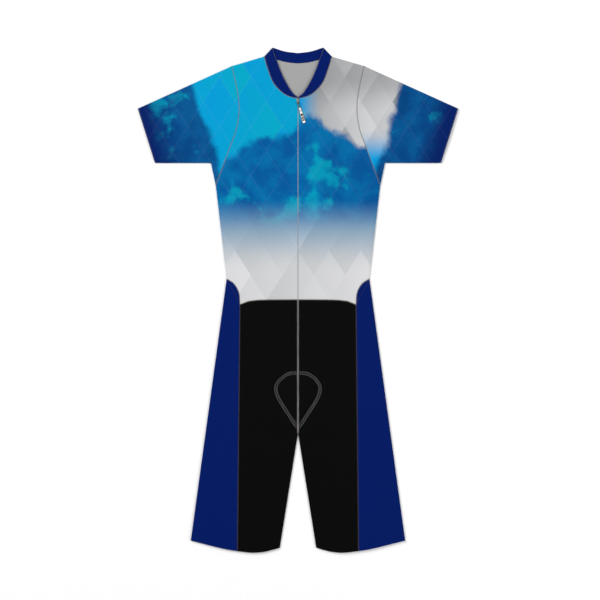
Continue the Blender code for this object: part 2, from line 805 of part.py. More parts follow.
def make_slider(finish, collection, cutters):
    """Slider: two plates joined by a post at the end of the coil, with a bail for the tab."""
    lower, upper = slider_levels()
    centre = SLIDER_TOP_STATION - SLIDER_LENGTH / 2
    slider = box("zip_slider", SLIDER_WIDTH, SLIDER_LENGTH, upper, upper + SLIDER_PLATE, centre,
                 collection, finish)
    bevel = slider.modifiers.new("soft_edges", "BEVEL")
    bevel.width = SLIDER_BEVEL * MM
    bevel.segments = BEVEL_SEGMENTS
    low_plate = box("slider_lower_plate", SLIDER_WIDTH, SLIDER_LENGTH,
                    lower - SLIDER_LOWER_PLATE, lower, centre, cutters, finish)
    post = box("slider_post", ZIP_COIL_WIDTH, SLIDER_POST_LENGTH, lower - SLIDER_LOWER_PLATE / 2,
               upper + SLIDER_PLATE / 2, SLIDER_TOP_STATION - SLIDER_POST_LENGTH / 2, cutters, finish)
    reach, bar = BAIL_HALF_LENGTH, BAIL_BAR
    sunk = -SLIDER_PLATE / 2
    outline = (
        (-reach, sunk),
        (-reach, BAIL_SHOULDER),
        (-reach + bar, BAIL_HEIGHT),
        (reach - bar, BAIL_HEIGHT),
        (reach, BAIL_SHOULDER),
        (reach, sunk),
        (reach - bar, sunk),
        (reach - bar, BAIL_HEIGHT - bar),
        (-reach + bar, BAIL_HEIGHT - bar),
        (-reach + bar, sunk),
    )
    bail = extruded("slider_bail", outline, BAIL_WIDTH, finish, cutters)
    bail.rotation_euler = (math.pi / 2, 0.0, math.pi / 2)
    bail.location = place(0.0, pivot_station(), upper + SLIDER_PLATE)
    for part in (low_plate, post, bail):
        part.hide_render = True
        part.display_type = "WIRE"
        joined = slider.modifiers.new(part.name, "BOOLEAN")
        joined.operation = "UNION"
        joined.object = part
    return slider


def make_pull_tab(finish, collection, cutters):
    """Pull tab: a flat tongue with an eye whose cross bar runs under the slider's bail."""
    bar = TAB_BAR / 2
    outline = [(-TAB_HEAD_HALF, bar), (-TAB_HEAD_HALF, -TAB_NECK_END)]
    centre = -TAB_LENGTH + TAB_END_HALF
    for step in range(TAB_END_STEPS + 1):
        angle = math.pi + math.pi * step / TAB_END_STEPS
        outline.append((TAB_END_HALF * math.cos(angle), centre + TAB_END_HALF * math.sin(angle)))
    outline += [(TAB_HEAD_HALF, -TAB_NECK_END), (TAB_HEAD_HALF, bar)]
    tab = extruded("pull_tab", outline, TAB_THICKNESS, finish, collection)
    eye_outline = (
        (-TAB_EYE_HALF, -bar),
        (TAB_EYE_HALF, -bar),
        (TAB_EYE_HALF, -TAB_EYE_END),
        (-TAB_EYE_HALF, -TAB_EYE_END),
    )
    eye = extruded("tab_eye", eye_outline, TAB_THICKNESS * CUTTER_OVERSIZE, finish, cutters)
    wide, top = TAB_HEAD_HALF * CUTTER_OVERSIZE, bar * CUTTER_OVERSIZE
    thin_outline = (
        (-wide, top),
        (wide, top),
        (wide, -TAB_EYE_END),
        (-wide, -TAB_EYE_END),
    )
    shave = (TAB_THICKNESS + TAB_BAR) / 2
    thinners = []
    for name, direction in (("tab_head_above", 1), ("tab_head_below", -1)):
        thinner = extruded(name, thin_outline, TAB_THICKNESS, finish, cutters)
        thinner.location = (0.0, 0.0, direction * shave * MM)
        thinners.append(thinner)
    _, upper = slider_levels()
    pivot_up = upper + SLIDER_PLATE + PIVOT_HEIGHT
    end_across = TAB_LENGTH * math.sin(TAB_TURN)
    end_station = pivot_station() - TAB_LENGTH * math.cos(TAB_TURN)
    resting = height(end_across, end_station) + SEAM + TAB_THICKNESS / 2
    hinge = bpy.data.objects.new("tab_pivot", None)
    collection.objects.link(hinge)
    hinge.location = place(0.0, pivot_station(), pivot_up)
    hinge.rotation_euler = (math.asin((pivot_up - resting) / TAB_LENGTH), 0.0, TAB_TURN)
    hinge.rotation_mode = "XYZ"
    for part in [tab, eye] + thinners:
        part.parent = hinge
    for cutter in [eye] + thinners:
        cutter.hide_render = True
        cutter.display_type = "WIRE"
        cut = tab.modifiers.new(cutter.name, "BOOLEAN")
        cut.operation = "DIFFERENCE"
        cut.object = cutter
    bevel = tab.modifiers.new("soft_edges", "BEVEL")
    bevel.width = TAB_BEVEL * MM
    bevel.segments = BEVEL_SEGMENTS
    bevel.limit_method = "ANGLE"
    return tab


# ---------------------------------------------------------------- the suit
def make_finish(name, finish):
    """Plain material from its row in the table."""
    material = bpy.data.materials.new(name)
    material.use_nodes = True
    shader = material.node_tree.nodes["Principled BSDF"]
    shader.inputs["Base Color"].default_value = (*finish.colour, 1.0)
    shader.inputs["Roughness"].default_value = finish.roughness
    shader.inputs["Metallic"].default_value = finish.metallic
    return material


def new_collection(name):
    """New collection, linked to the scene."""
    collection = bpy.data.collections.new(name)
    bpy.context.scene.collection.children.link(collection)
    return collection


def main():
    """Build every piece of the suit."""
    for item in list(bpy.data.objects):
        bpy.data.objects.remove(item, do_unlink=True)
    suit = new_collection("cycling_skinsuit")
    cutters = new_collection("cutters")
    finish = {name: make_finish(name, row) for name, row in FINISHES.items()}
    make_back(finish["printed_knit"], suit)
    make_back_collar(finish["navy_knit"], suit)
    for side in (RIGHT, LEFT):
        make_front(side, finish["printed_knit"], suit)
        make_sleeve(side, finish["printed_knit"], suit)
        make_front_collar(side, finish["navy_knit"], suit)
        make_hip_insert(side, finish["navy_knit"], suit)
        make_side_panel(side, finish["navy_knit"], suit)
        make_short_front(side, finish["black_knit"], suit)
        make_short_back(side, finish["black_knit"], suit)
    make_pad(finish["pad_foam"], suit)
    make_zip(finish["zip_coil"], suit)
    make_slider(finish["slider_metal"], suit, cutters)
    make_pull_tab(finish["tab_rubber"], suit, cutters)


main()
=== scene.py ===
"""Looks of a cycling skinsuit that lies flat on its back with its zip up.

Frame: X runs from the wearer's right to the wearer's left, +Y towards the collar, +Z up, in
metres. The cut is described in millimetres. A place on it is given by two measures: across,
the distance from the centre line, and station, the distance above the lowest point of the leg
hems. One half is described, and both are built.
"""

import json
import logging
import math
from dataclasses import dataclass
from enum import Enum
from functools import cached_property, partialmethod

import bmesh
import bpy
import numpy as np
from mathutils import Matrix, Vector
from mathutils.bvhtree import BVHTree


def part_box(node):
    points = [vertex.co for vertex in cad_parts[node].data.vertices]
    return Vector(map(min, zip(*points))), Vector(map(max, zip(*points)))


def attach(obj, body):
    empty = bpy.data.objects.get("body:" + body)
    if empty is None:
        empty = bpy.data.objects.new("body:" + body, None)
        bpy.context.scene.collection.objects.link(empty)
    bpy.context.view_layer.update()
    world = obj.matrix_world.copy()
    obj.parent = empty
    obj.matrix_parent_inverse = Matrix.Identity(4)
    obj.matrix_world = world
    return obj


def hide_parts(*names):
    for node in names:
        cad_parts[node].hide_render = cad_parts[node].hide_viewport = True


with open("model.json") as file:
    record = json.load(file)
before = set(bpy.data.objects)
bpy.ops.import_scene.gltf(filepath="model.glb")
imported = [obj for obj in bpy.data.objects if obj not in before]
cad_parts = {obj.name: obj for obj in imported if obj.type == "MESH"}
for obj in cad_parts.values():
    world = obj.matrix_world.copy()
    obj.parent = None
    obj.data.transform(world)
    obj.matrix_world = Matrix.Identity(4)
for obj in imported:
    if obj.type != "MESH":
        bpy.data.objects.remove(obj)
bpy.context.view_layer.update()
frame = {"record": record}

LOG = logging.getLogger("skinsuit")
MM = 0.001
GARMENT, TAB_BODY = "garment", "pull_tab"
FLOOR = "studio_floor"
MIRROR = np.array([-1.0, 1.0])

Plan = tuple[float, float]
Colour = tuple[float, float, float]
Steps = tuple[float, ...]
Points = tuple[Plan, ...]
Array = np.ndarray
Piece = bpy.types.Object
Material = bpy.types.Material


class Side(Enum):
    """Half of the suit, by the sign of its X."""

    RIGHT = -1
    LEFT = 1

    @property
    def word(self) -> str:
        """The side's name in the names of its pieces."""
        return self.name.lower()


class Layer(Enum):
    """Layer of the lying suit, by the way its outer face looks."""

    UPPER = 1
    LOWER = -1


# ---- plan geometry
def ease(value: Array) -> Array:
    """Smooth step from 0 at 0 to 1 at 1."""
    value = np.clip(value, 0.0, 1.0)
    return value * value * (3.0 - 2.0 * value)


def smooth_route(points: Points, steps: int = 12) -> Array:
    """Fine polyline of the smooth curve through some points.

    Args:
        points: places that the curve passes through.
        steps: pieces between one of them and the next.
    Returns:
        The polyline's points, a row for each.
    """
    knots = np.array(points, float)
    knots = np.vstack([2 * knots[0] - knots[1], knots, 2 * knots[-1] - knots[-2]])
    t = (np.arange(steps) / steps)[:, None]
    spans = []
    for before, start, end, after in zip(knots, knots[1:], knots[2:], knots[3:]):
        spans.append(0.5 * (2 * start + (end - before) * t
                            + (2 * before - 5 * start + 4 * end - after) * t ** 2
                            + (3 * start - before - 3 * end + after) * t ** 3))
    return np.vstack([*spans, knots[-2:-1]])


def run_along(route: Array) -> Array:
    """Distance of each point of a polyline from its start."""
    return np.concatenate([[0.0], np.cumsum(np.linalg.norm(np.diff(route, axis=0), axis=1))])


def route_length(route: Array) -> float:
    """Length of a polyline."""
    return float(run_along(route)[-1])


def along(route: Array, shares: Array) -> Array:
    """Points at shares of a polyline's length."""
    run = run_along(route)
    at = np.asarray(shares) * run[-1]
    return np.stack([np.interp(at, run, route[:, k]) for k in range(route.shape[1])], axis=-1)


def line(start: Plan, end: Plan, shares: Array) -> Array:
    """Points at shares of a straight line."""
    return along(np.array([start, end], float), shares)


def station_at(route: Array, across: Array) -> Array:
    """Stations of a curve where it crosses some distances from the centre line."""
    order = np.argsort(route[:, 0])
    return np.interp(across, route[order, 0], route[order, 1])


def distance_to(points: Array, route: Array) -> Array:
    """Shortest distance from each point to a polyline."""
    nearest = np.full(points.shape[:-1], np.inf)
    for start, end in zip(route, route[1:]):
        run = end - start
        share = np.clip(((points - start) @ run) / (run @ run), 0.0, 1.0)
        gap = points - start - share[..., None] * run
        nearest = np.minimum(nearest, np.linalg.norm(gap, axis=-1))
    return nearest


def nearest_to(points: Array, routes: tuple[Array, ...]) -> Array:
    """Shortest distance from each point to the nearest of some polylines."""
    return np.min([distance_to(points, route) for route in routes], axis=0)


def both_halves(half: Array) -> Array:
    """Line over both halves, from one over a half that ends on the centre line."""
    return np.vstack([half, half[-2::-1] * MIRROR])


def even(parts: int) -> Array:
    """Shares of a length that is divided into equal steps."""
    return np.arange(parts + 1) / parts


def offset_route(route: Array, distance: float) -> Array:
    """Polyline beside another, by a distance to the left of its run."""
    run = np.gradient(route[:, :2], axis=0)
    run /= np.linalg.norm(run, axis=1)[:, None]
    beside = route.copy()
    beside[:, 0] -= run[:, 1] * distance
    beside[:, 1] += run[:, 0] * distance
    return beside


def graded(length: float | Array, parts: int, first: Steps = (0.0,), last: Steps = (0.0,)) -> Array:
    """Shares of a length, or of a column of lengths: close steps at its ends, even ones between.

    Args:
        length: what is divided.
        parts: even steps in the middle.
        first: distances of the close steps from the start, rising from 0.
        last: and from the end.
    Returns:
        The shares along the last axis.
    """
    length = np.asarray(length, float)[..., None]
    start = np.array(first) / length
    end = 1.0 - np.array(last)[::-1] / length
    steps = np.arange(1, parts) / parts
    middle = start[..., -1:] + (end[..., :1] - start[..., -1:]) * steps
    return np.concatenate([start, middle, end], axis=-1)


def loft(inner: Array, outer: Array, columns: Array,
         first_row: Array | None = None, last_row: Array | None = None) -> Array:
    """Plan grid between two edges, which takes on the shape of its end rows.

    Args:
        inner: the edge where each row begins.
        outer: the edge where it ends.
        columns: each row's shares of the way between them, or one row of shares for all.
        first_row: points of the first row, where it isn't straight.
        last_row: and of the last one.
    Returns:
        Points by row and column.
    """
    rows = len(inner)
    columns = np.broadcast_to(columns, (rows, np.shape(columns)[-1]))
    grid = inner[:, None] + (outer - inner)[:, None] * columns[..., None]
    fall = (1.0 - np.arange(rows) / (rows - 1))[:, None, None]
    if first_row is not None:
        grid = grid + (first_row - grid[0]) * fall
    if last_row is not None:
        grid = grid + (last_row - grid[-1]) * (1.0 - fall)
    return grid


def inset_loop(points: Array, gaps: Array) -> Array:
    """Move each edge of a closed plan outline inwards by its own gap."""
    after = np.roll(points, -1, axis=0) - points
    twice_area = np.sum(points[:, 0] * np.roll(points[:, 1], -1)
                        - np.roll(points[:, 0], -1) * points[:, 1])
    after = after / np.linalg.norm(after, axis=1)[:, None] * np.sign(twice_area)
    last = np.stack([-after[:, 1], after[:, 0]], axis=1)
    first = np.roll(last, 1, axis=0)
    before_gap = np.roll(gaps, 1)
    cross = first[:, 0] * last[:, 1] - first[:, 1] * last[:, 0]
    straight = (first + last) / np.linalg.norm(first + last, axis=1)[:, None]
    straight = straight * np.maximum(before_gap, gaps)[:, None]
    turned = np.stack([before_gap * last[:, 1] - gaps * first[:, 1],
                       gaps * first[:, 0] - before_gap * last[:, 0]], axis=1)
    turned = turned / np.where(np.abs(cross) > 0.2, cross, 1.0)[:, None]
    return points + np.where(np.abs(cross)[:, None] > 0.2, turned, straight)


def part_seams(grid: Array, first: float = 0.0, last: float = 0.0,
               inner: float | list[float] = 0.0, outer: float | list[float] = 0.0) -> Array:
    """Draw the sewn sides of a plan grid in by half the seam's parting.

    Args:
        grid: points by row and column.
        first: gap at the first row.
        last: gap at the last row.
        inner: gap at the first column, one number or one for each of its steps.
        outer: gap at the last column, in the same form.
    Returns:
        The grid with its sides moved.
    """
    rows, columns = grid.shape[0] - 1, grid.shape[1] - 1
    loop = [(0, j) for j in range(columns)] + [(i, columns) for i in range(rows)]
    loop += [(rows, j) for j in range(columns, 0, -1)] + [(i, 0) for i in range(rows, 0, -1)]
    at = tuple(np.array(loop).T)
    gaps = np.concatenate([np.broadcast_to(first, columns), np.broadcast_to(outer, rows),
                           np.broadcast_to(last, columns), np.broadcast_to(inner, rows)[::-1]])
    moved = grid.copy()
    moved[at] = inset_loop(grid[at], gaps)
    return moved


# ---- the cut
def smoothed(points: str) -> cached_property:
    """Smooth curve through the points that another field of the same object holds."""
    return cached_property(lambda cut: smooth_route(getattr(cut, points)))


@dataclass(frozen=True)
class Cut:
    """Outline and seams of one half of the suit, with the sizes of its cloth, in millimetres."""

    length: float = 1060.0
    wall: float = 1.2
    seam: float = 0.3
    step: float = 4.4
    close_steps: Steps = (0.0, 0.8, 1.8, 3.2, 5.0)
    fold_steps: Steps = (0.0, 2.1, 3.4, 5.0)
    hem_steps: Steps = (0.0, 1.5)
    zip_parting: float = 1.6
    corner_clearance: float = 1.8
    corner_reach: float = 24.0

    collar_tip: Plan = (53.1, 1060.0)
    neck_point: Plan = (71.0, 1040.8)
    shoulder_point: Plan = (139.0, 1020.8)
    cuff_top: Plan = (336.2, 931.7)
    cuff_bottom: Plan = (300.3, 817.7)
    armpit: Plan = (182.7, 817.7)
    underarm_end: Plan = (172.6, 771.0)
    hip_point: Plan = (149.8, 574.6)
    waist_corner: Plan = (121.7, 520.6)
    waist_centre: float = 530.9
    hem_outer: Plan = (225.0, 25.2)
    hem_seam: Plan = (127.0, 3.4)
    hem_inner: Plan = (38.2, 10.2)
    crotch: Plan = (0.15, 250.7)
    neck_drop: float = 952.8
    armpit_row: float = 0.72
    low_armhole: float = 0.47
    back_neck_length: float = 74.0

    neckline_points: Points = (
        neck_point, (63.3, 1014.5), (51.6, 985.4), (32.5, 964.6), (15.5, 955.9), (0.8, 952.8))
    collar_edge_points: Points = (
        collar_tip, (45.4, 1036.0), (31.6, 1000.0), (13.2, 967.6), (0.8, 956.2))
    back_neckline_points: Points = (neck_point, (46.6, 1034.8), (23.0, 1029.0), (0.0, 1026.6))
    back_collar_points: Points = (collar_tip, (27.0, 1051.8), (0.0, 1048.3))
    armhole_points: Points = (
        shoulder_point, (128.6, 975.2), (123.6, 934.0), (128.4, 892.0), (141.6, 853.4), underarm_end)
    hip_points: Points = (hip_point, (134.2, 563.9), (123.9, 545.0), waist_corner)
    waist_points: Points = (
        (0.0, waist_centre), (60.8, 530.5), (85.2, 529.8), (103.4, 527.6), waist_corner)
    hem_points: Points = (
        hem_outer, (176.0, 13.0), (151.0, 7.2), hem_seam, (96.6, 0.0), (72.0, 1.6), (50.4, 6.6),
        hem_inner)

    # The first five run from the shoulder, the last two from the outer edge of the suit inwards.
    neckline = smoothed("neckline_points")
    collar_edge = smoothed("collar_edge_points")
    back_neckline = smoothed("back_neckline_points")
    back_collar = smoothed("back_collar_points")
    armhole = smoothed("armhole_points")
    hip = smoothed("hip_points")
    hem = smoothed("hem_points")

    @cached_property
    def waist(self) -> Array:
        """Seam of the waist, from the centre to the hip."""
        return np.array(self.waist_points, float)

    @cached_property
    def side_seam(self) -> Array:
        """Seam between the side panel and the leg, from the waist to the hem."""
        return np.array([self.waist_corner, self.hem_seam], float)

    @cached_property
    def centre_seam(self) -> Array:
        """Seam between the legs, from the waist to the crotch."""
        return np.array([(0.0, self.waist_centre), (0.0, self.crotch[1])])

    @cached_property
    def sewn_edges(self) -> tuple[Array, ...]:
        """Edges of the outline where front and back are sewn together."""
        edges = (
            (self.neck_point, self.collar_tip),
            (self.neck_point, self.shoulder_point),
            (self.cuff_bottom, self.armpit),
            (self.armpit, self.underarm_end),
            (self.underarm_end, self.hip_point),
            (self.crotch, self.hem_inner),
        )
        return tuple(np.array(edge, float) for edge in edges)

    @cached_property
    def folded_edges(self) -> tuple[Array, ...]:
        """Edges of the outline where one piece of cloth turns over."""
        edges = ((self.shoulder_point, self.cuff_top), (self.hip_point, self.hem_outer))
        return tuple(np.array(edge, float) for edge in edges)

    def parts(self, length: float) -> int:
        """Number of grid steps over a length."""
        return max(2, round(length / self.step))

    def place(self, points: Array, up: Array | float, side: Side) -> Array:
        """Places in metres from measures on the suit.

        Args:
            points: across and station of each.
            up: height over the surface that the suit lies on.
            side: the half that they are on.
        Returns:
            X, Y and Z of each.
        """
        up = np.broadcast_to(up, points.shape[:-1])
        x = points[..., 0] * side.value
        return np.stack([x, points[..., 1] - self.length / 2, up], axis=-1) * MM


@dataclass(frozen=True)
class PadShape:
    """Seat pad: its outer row of stitching and its thickness, in millimetres."""

    rows: Points = (
        (263.0, 5.0), (313.0, 37.0), (330.0, 46.0), (347.0, 48.6), (361.0, 42.0), (373.0, 29.0),
        (379.0, 16.0))
    edge: float = 0.8
    core: float = 2.2
    margin: float = 2.0
    room: float = 0.6
    ledge: float = 3.0
    runout: float = 0.25
    rise: float = 45.0
    row_gap: float = 4.4

    @property
    def first(self) -> float:
        """Station of the pad's lower end."""
        return self.rows[0][0]

    @property
    def last(self) -> float:
        """Station of its upper end."""
        return self.rows[-1][0]

    def half_width(self, station: Array) -> Array:
        """Half the pad's width, its margin included."""
        table = np.array(self.rows)
        return self.margin + np.interp(station, table[:, 0], table[:, 1])

    def thickness(self, across: Array, station: Array) -> Array:
        """Thickness of one lobe: thin at its rim and crowned in the middle."""
        ends = ease((station - self.first) / self.rise) * ease((self.last - station) / self.rise)
        side = np.minimum(np.abs(across) / self.half_width(station), 1.0)
        return self.edge + (self.core - self.edge) * ends * (1.0 - side * side)

    def lift(self, cut: Cut, across: Array, station: Array) -> Array:
        """Height that the cloth over the pad needs, running out beside it."""
        outside = np.abs(across) - self.half_width(station)
        outside = np.maximum(outside, np.maximum(self.first - station, station - self.last))
        stack = 2 * (cut.wall + cut.seam + self.thickness(across, station)) + self.room
        return stack - self.runout * np.maximum(outside - self.ledge, 0.0)

    def stitch_row(self, inwards: float) -> Array:
        """Row of stitching down one side of the pad, by its distance inside the outer one."""
        top = self.last - inwards
        moved = offset_route(smooth_route(self.rows)[:, ::-1], inwards)
        moved = moved[(moved[:, 0] >= 0.0) & (moved[:, 1] <= top)]
        return np.vstack([moved, [(0.0, top)]])


# ---- how it lies
@dataclass(frozen=True)
class Crease:
    """Soft ridge, or trough where its rise is negative, left by the hands that laid it out."""

    start: Plan
    end: Plan
    width: float
    rise: float

    def relief(self, points: Array) -> Array:
        """Height that it adds at points whose distance across has its side's sign."""
        start, end = np.array(self.start), np.array(self.end)
        run = end - start
        share = ((points - start) @ run) / (run @ run)
        beside = np.abs((points - start) @ np.array([-run[1], run[0]])) / np.linalg.norm(run)
        ends = ease(np.minimum(share, 1.0 - share) * 2.5 + 0.1)
        return self.rise * ends * np.exp(-((beside / self.width) ** 2))


def creases(*rows: Steps) -> tuple[Crease, ...]:
    """Creases from rows of across and station of the start, those of the end, width and rise."""
    return tuple(Crease(row[:2], row[2:4], *row[4:]) for row in rows)


CREASES = creases(
    # under the right arm, fanning out over the chest
    (-176, 792, -92, 842, 9.0, 1),
    (-170, 772, -70, 786, 7.0, -0.74),
    (-166, 748, -84, 742, 10.0, 0.81),
    (-160, 716, -118, 690, 8.0, -0.54),
    # under the left arm
    (178, 796, 104, 856, 8.0, 0.94),
    (171, 778, 78, 804, 10.0, -0.75),
    (166, 744, 58, 762, 8.0, 0.74),
    # over the sleeves, from the armpits to the fold
    (-186, 826, -214, 924, 9.0, 0.94),
    (-206, 826, -262, 900, 11.0, -0.74),
    (-160, 846, -158, 948, 8.0, 0.68),
    (188, 824, 226, 916, 10.0, 0.94),
    (214, 826, 284, 884, 9.0, -0.68),
    (158, 838, 152, 958, 9.0, 0.68),
    # pull of the zip and the neck
    (-14, 868, -76, 906, 12.0, 0.54),
    (16, 838, 96, 872, 13.0, 0.54),
    (-52, 1004, -116, 976, 10.0, 0.61),
    (56, 1006, 112, 962, 9.0, -0.54),
    # over the waist
    (-128, 628, -52, 604, 12.0, 0.74),
    (-118, 596, -34, 588, 9.0, -0.61),
    (134, 640, 64, 606, 11.0, 0.74),
    (122, 588, 26, 596, 10.0, -0.61),
    (-122, 506, -46, 480, 11.0, 0.81),
    (116, 500, 38, 486, 12.0, 0.68),
    # between the seat and the legs
    (-8, 252, -84, 316, 10.0, 0.81),
    (-16, 232, -98, 262, 9.0, -0.68),
    (-20, 206, -86, 206, 12.0, 0.68),
    (10, 250, 92, 300, 10.0, 0.81),
    (18, 224, 104, 244, 10.0, -0.68),
    (24, 196, 88, 186, 11.0, 0.61),
    (-112, 402, -64, 392, 12.0, 0.54),
    (120, 424, 70, 398, 11.0, 0.61),
    # down the side panels
    (-152, 520, -188, 300, 12.0, 0.74),
    (-146, 420, -160, 180, 10.0, -0.54),
    (150, 500, 176, 330, 13.0, 0.68),
    (150, 320, 190, 120, 11.0, -0.61),
    # above the hems
    (-106, 60, -64, 128, 12.0, 0.61),
    (98, 46, 74, 122, 13.0, 0.54),
)

UNDER_CREASES = creases(
    # over the shoulder blades
    (-104, 968, -34, 926, 12.0, 0.4),
    (-96, 912, -22, 880, 10.0, 0.32),
    (108, 956, 48, 904, 13.0, 0.42),
    (22, 856, 86, 838, 9.0, 0.3),
    # from the armpits inwards
    (-168, 786, -92, 826, 10.0, 0.45),
    (-158, 742, -86, 734, 9.0, 0.34),
    (172, 780, 84, 812, 11.0, 0.45),
    (160, 722, 104, 704, 9.0, 0.3),
    # in the small of the back
    (-126, 622, -40, 600, 12.0, 0.42),
    (-60, 572, 38, 582, 10.0, 0.32),
    (130, 640, 58, 616, 11.0, 0.4),
    # over the sleeves
    (-190, 828, -216, 918, 10.0, 0.45),
    (-234, 836, -282, 906, 9.0, 0.34),
    (194, 830, 238, 910, 11.0, 0.42),
    # under the seat and down the legs
    (-58, 246, -112, 318, 10.0, 0.42),
    (-26, 214, -96, 232, 9.0, 0.36),
    (62, 252, 118, 304, 11.0, 0.4),
    (24, 206, 92, 196, 10.0, 0.34),
    (-150, 500, -186, 330, 12.0, 0.42),
    (154, 440, 184, 250, 12.0, 0.4),
    (-100, 70, -66, 130, 11.0, 0.34),
    (104, 84, 70, 148, 12.0, 0.36),
)


@dataclass(frozen=True)
class Lie:
    """How high both layers lie over the surface, in millimetres."""

    cut: Cut = Cut()
    pad: PadShape = PadShape()
    fold_height: float = 4.2
    loft: float = 1.2
    loft_reach: float = 60.0
    edge_roll: float = 5.0
    creases: tuple[Crease, ...] = CREASES
    under_creases: tuple[Crease, ...] = UNDER_CREASES
    crease_margin: float = 16.0
    seam_dip: float = 0.4
    seam_width: float = 1.5
    pad_dip: float = 0.3
    blend: float = 0.5
    hem_width: float = 3.0
    under_dip: float = 0.45
    under_pad: float = 0.25
    under_fade: float = 6.0

    @property
    def sewn_height(self) -> float:
        """Height over an edge where front and back are sewn."""
        return 2 * self.cut.wall + self.cut.seam

    def smooth(self, points: Array) -> Array:
        """Height without creases, which the zip lies in."""
        cut = self.cut
        sewn, folded = nearest_to(points, cut.sewn_edges), nearest_to(points, cut.folded_edges)
        lying = self.fold_height + self.loft * ease(np.minimum(sewn, folded) / self.loft_reach)
        lying = lying - (self.fold_height - self.sewn_height) * (1.0 - ease(sewn / self.edge_roll))
        over_pad = self.pad.lift(cut, points[..., 0], points[..., 1])
        gap = over_pad - lying
        soft = (lying + over_pad + np.sqrt(gap * gap + self.blend ** 2)) / 2
        return np.where(gap > -8 * self.blend, soft, lying)

    def relief(self, points: Array, side: Side) -> Array:
        """Height that the creases add, fading out at the outline and at the zip."""
        cut = self.cut
        edges = cut.sewn_edges + cut.folded_edges + (np.array([(0.0, cut.neck_drop), (0.0, 0.0)]),)
        nearest = nearest_to(points, edges)
        signed = points * np.array([side.value, 1.0])
        total = sum(crease.relief(signed) for crease in self.creases)
        return total * ease(nearest / self.crease_margin)

    def dips(self, points: Array) -> Array:
        """Depth to which the seams and the pad's stitching draw the cloth in."""
        cut = self.cut
        seams = (cut.armhole, cut.neckline, cut.hip, cut.waist, cut.side_seam, cut.centre_seam,
                 np.array([cut.hip_point, cut.waist_corner]))
        nearest = nearest_to(points, seams)
        depth = self.seam_dip * np.exp(-((nearest / self.seam_width) ** 2))
        rows = (self.pad.stitch_row(0.0), self.pad.stitch_row(self.pad.row_gap))
        quilted = nearest_to(points, rows)
        return depth + self.pad_dip * np.exp(-((quilted / self.seam_width) ** 2))

    def height(self, points: Array, side: Side) -> Array:
        """Height of the outer face of the upper layer."""
        return self.smooth(points) + self.relief(points, side) - self.dips(points)

    def underside(self, points: Array, side: Side) -> Array:
        """Height of the outer face of the lower layer, which leaves the surface at seams and creases.

        Args:
            points: across and station of each.
            side: the half that they are on.
        Returns:
            The height at each.
        """
        cut, pad = self.cut, self.pad
        seams = (cut.armhole, cut.back_neckline, cut.waist, cut.side_seam, cut.centre_seam,
                 np.array([cut.hip_point, cut.waist_corner]))
        hems = (cut.hem, np.array([cut.cuff_top, cut.cuff_bottom]))
        at_seam = nearest_to(points, seams) / self.seam_width
        at_hem = nearest_to(points, hems) / self.hem_width
        off_pad = np.maximum(pad.first - points[..., 1], points[..., 1] - pad.last) / self.crease_margin
        most = self.under_pad + (self.under_dip - self.under_pad) * ease(off_pad)
        sewn = most * np.exp(-(np.minimum(at_seam, at_hem) ** 2))
        edge = nearest_to(points, cut.sewn_edges + cut.folded_edges)
        signed = points * np.array([side.value, 1.0])
        creased = sum(crease.relief(signed) for crease in self.under_creases)
        return np.maximum(sewn * ease(edge / self.under_fade), creased * ease(edge / self.crease_margin))


# ---- node trees
class Value:
    """Output of a node, on which maths is written as Python."""

    def __init__(self, nodes: "Nodes", socket: bpy.types.NodeSocket) -> None:
        """Keep the socket."""
        self.nodes = nodes
        self.socket = socket

    def math(self, operation: str, *others: "Value | float") -> "Value":
        """Math node with this value first."""
        return self.nodes.node("ShaderNodeMath", dict(enumerate((self, *others))), operation=operation)

    # Python's operators, each with this value first
    __add__ = __radd__ = partialmethod(math, "ADD")
    __mul__ = __rmul__ = partialmethod(math, "MULTIPLY")
    __sub__ = partialmethod(math, "SUBTRACT")
    __truediv__ = partialmethod(math, "DIVIDE")

    def __rsub__(self, other: float) -> "Value":
        """A number less this value."""
        return self.nodes.node("ShaderNodeMath", {0: other, 1: self}, operation="SUBTRACT")

    def smooth(self, low: float, high: float) -> "Value":
        """Smooth step from 0 at low to 1 at high, which may be the smaller."""
        start, end, first, last = (low, high, 0.0, 1.0) if low < high else (high, low, 1.0, 0.0)
        sockets = {0: self, 1: start, 2: end, 3: first, 4: last}
        return self.nodes.node("ShaderNodeMapRange", sockets, interpolation_type="SMOOTHSTEP")


class Nodes:
    """Node tree of a material or of a shape, with one method that adds its nodes."""

    def __init__(self, tree: bpy.types.NodeTree) -> None:
        """Keep the tree."""
        self.tree = tree

    def node(self, kind: str, inputs: dict | None = None, output: int | str = 0,
             **settings: object) -> Value:
        """Add a node.

        Args:
            kind: Blender's name for the node's type.
            inputs: value or link of each socket, by its name or number.
            output: the output that is wanted, by its name or number.
            settings: what is set on the node before its sockets.
        Returns:
            The wanted output.
        """
        node = self.tree.nodes.new(kind)
        for name, value in settings.items():
            setattr(node, name, value)
        for key, value in (inputs or {}).items():
            if isinstance(value, Value):
                self.tree.links.new(value.socket, node.inputs[key])
            else:
                node.inputs[key].default_value = value
        return Value(self, node.outputs[output]) if len(node.outputs) else None

    def place(self) -> Value:
        """Object coordinates."""
        return self.node("ShaderNodeTexCoord", output="Object")

    def across_and_up(self, place: Value) -> tuple[Value, Value]:
        """First two parts of a place."""
        first = self.node("ShaderNodeSeparateXYZ", {0: place}, "X")
        return first, Value(self, first.socket.node.outputs["Y"])

    def mixed(self, factor: Value | float, first: Value | tuple, second: Value | tuple,
              how: str = "MIX") -> Value:
        """Colour between two others, or one laid over the other in a named way."""
        sockets = {0: factor, 6: first, 7: second}
        return self.node("ShaderNodeMix", sockets, 2, data_type="RGBA", blend_type=how)


def linear(level: float) -> float:
    """Amount of light of a display level from 0 to 255."""
    share = level / 255.0
    return share / 12.92 if share <= 0.04045 else ((share + 0.055) / 1.055) ** 2.4


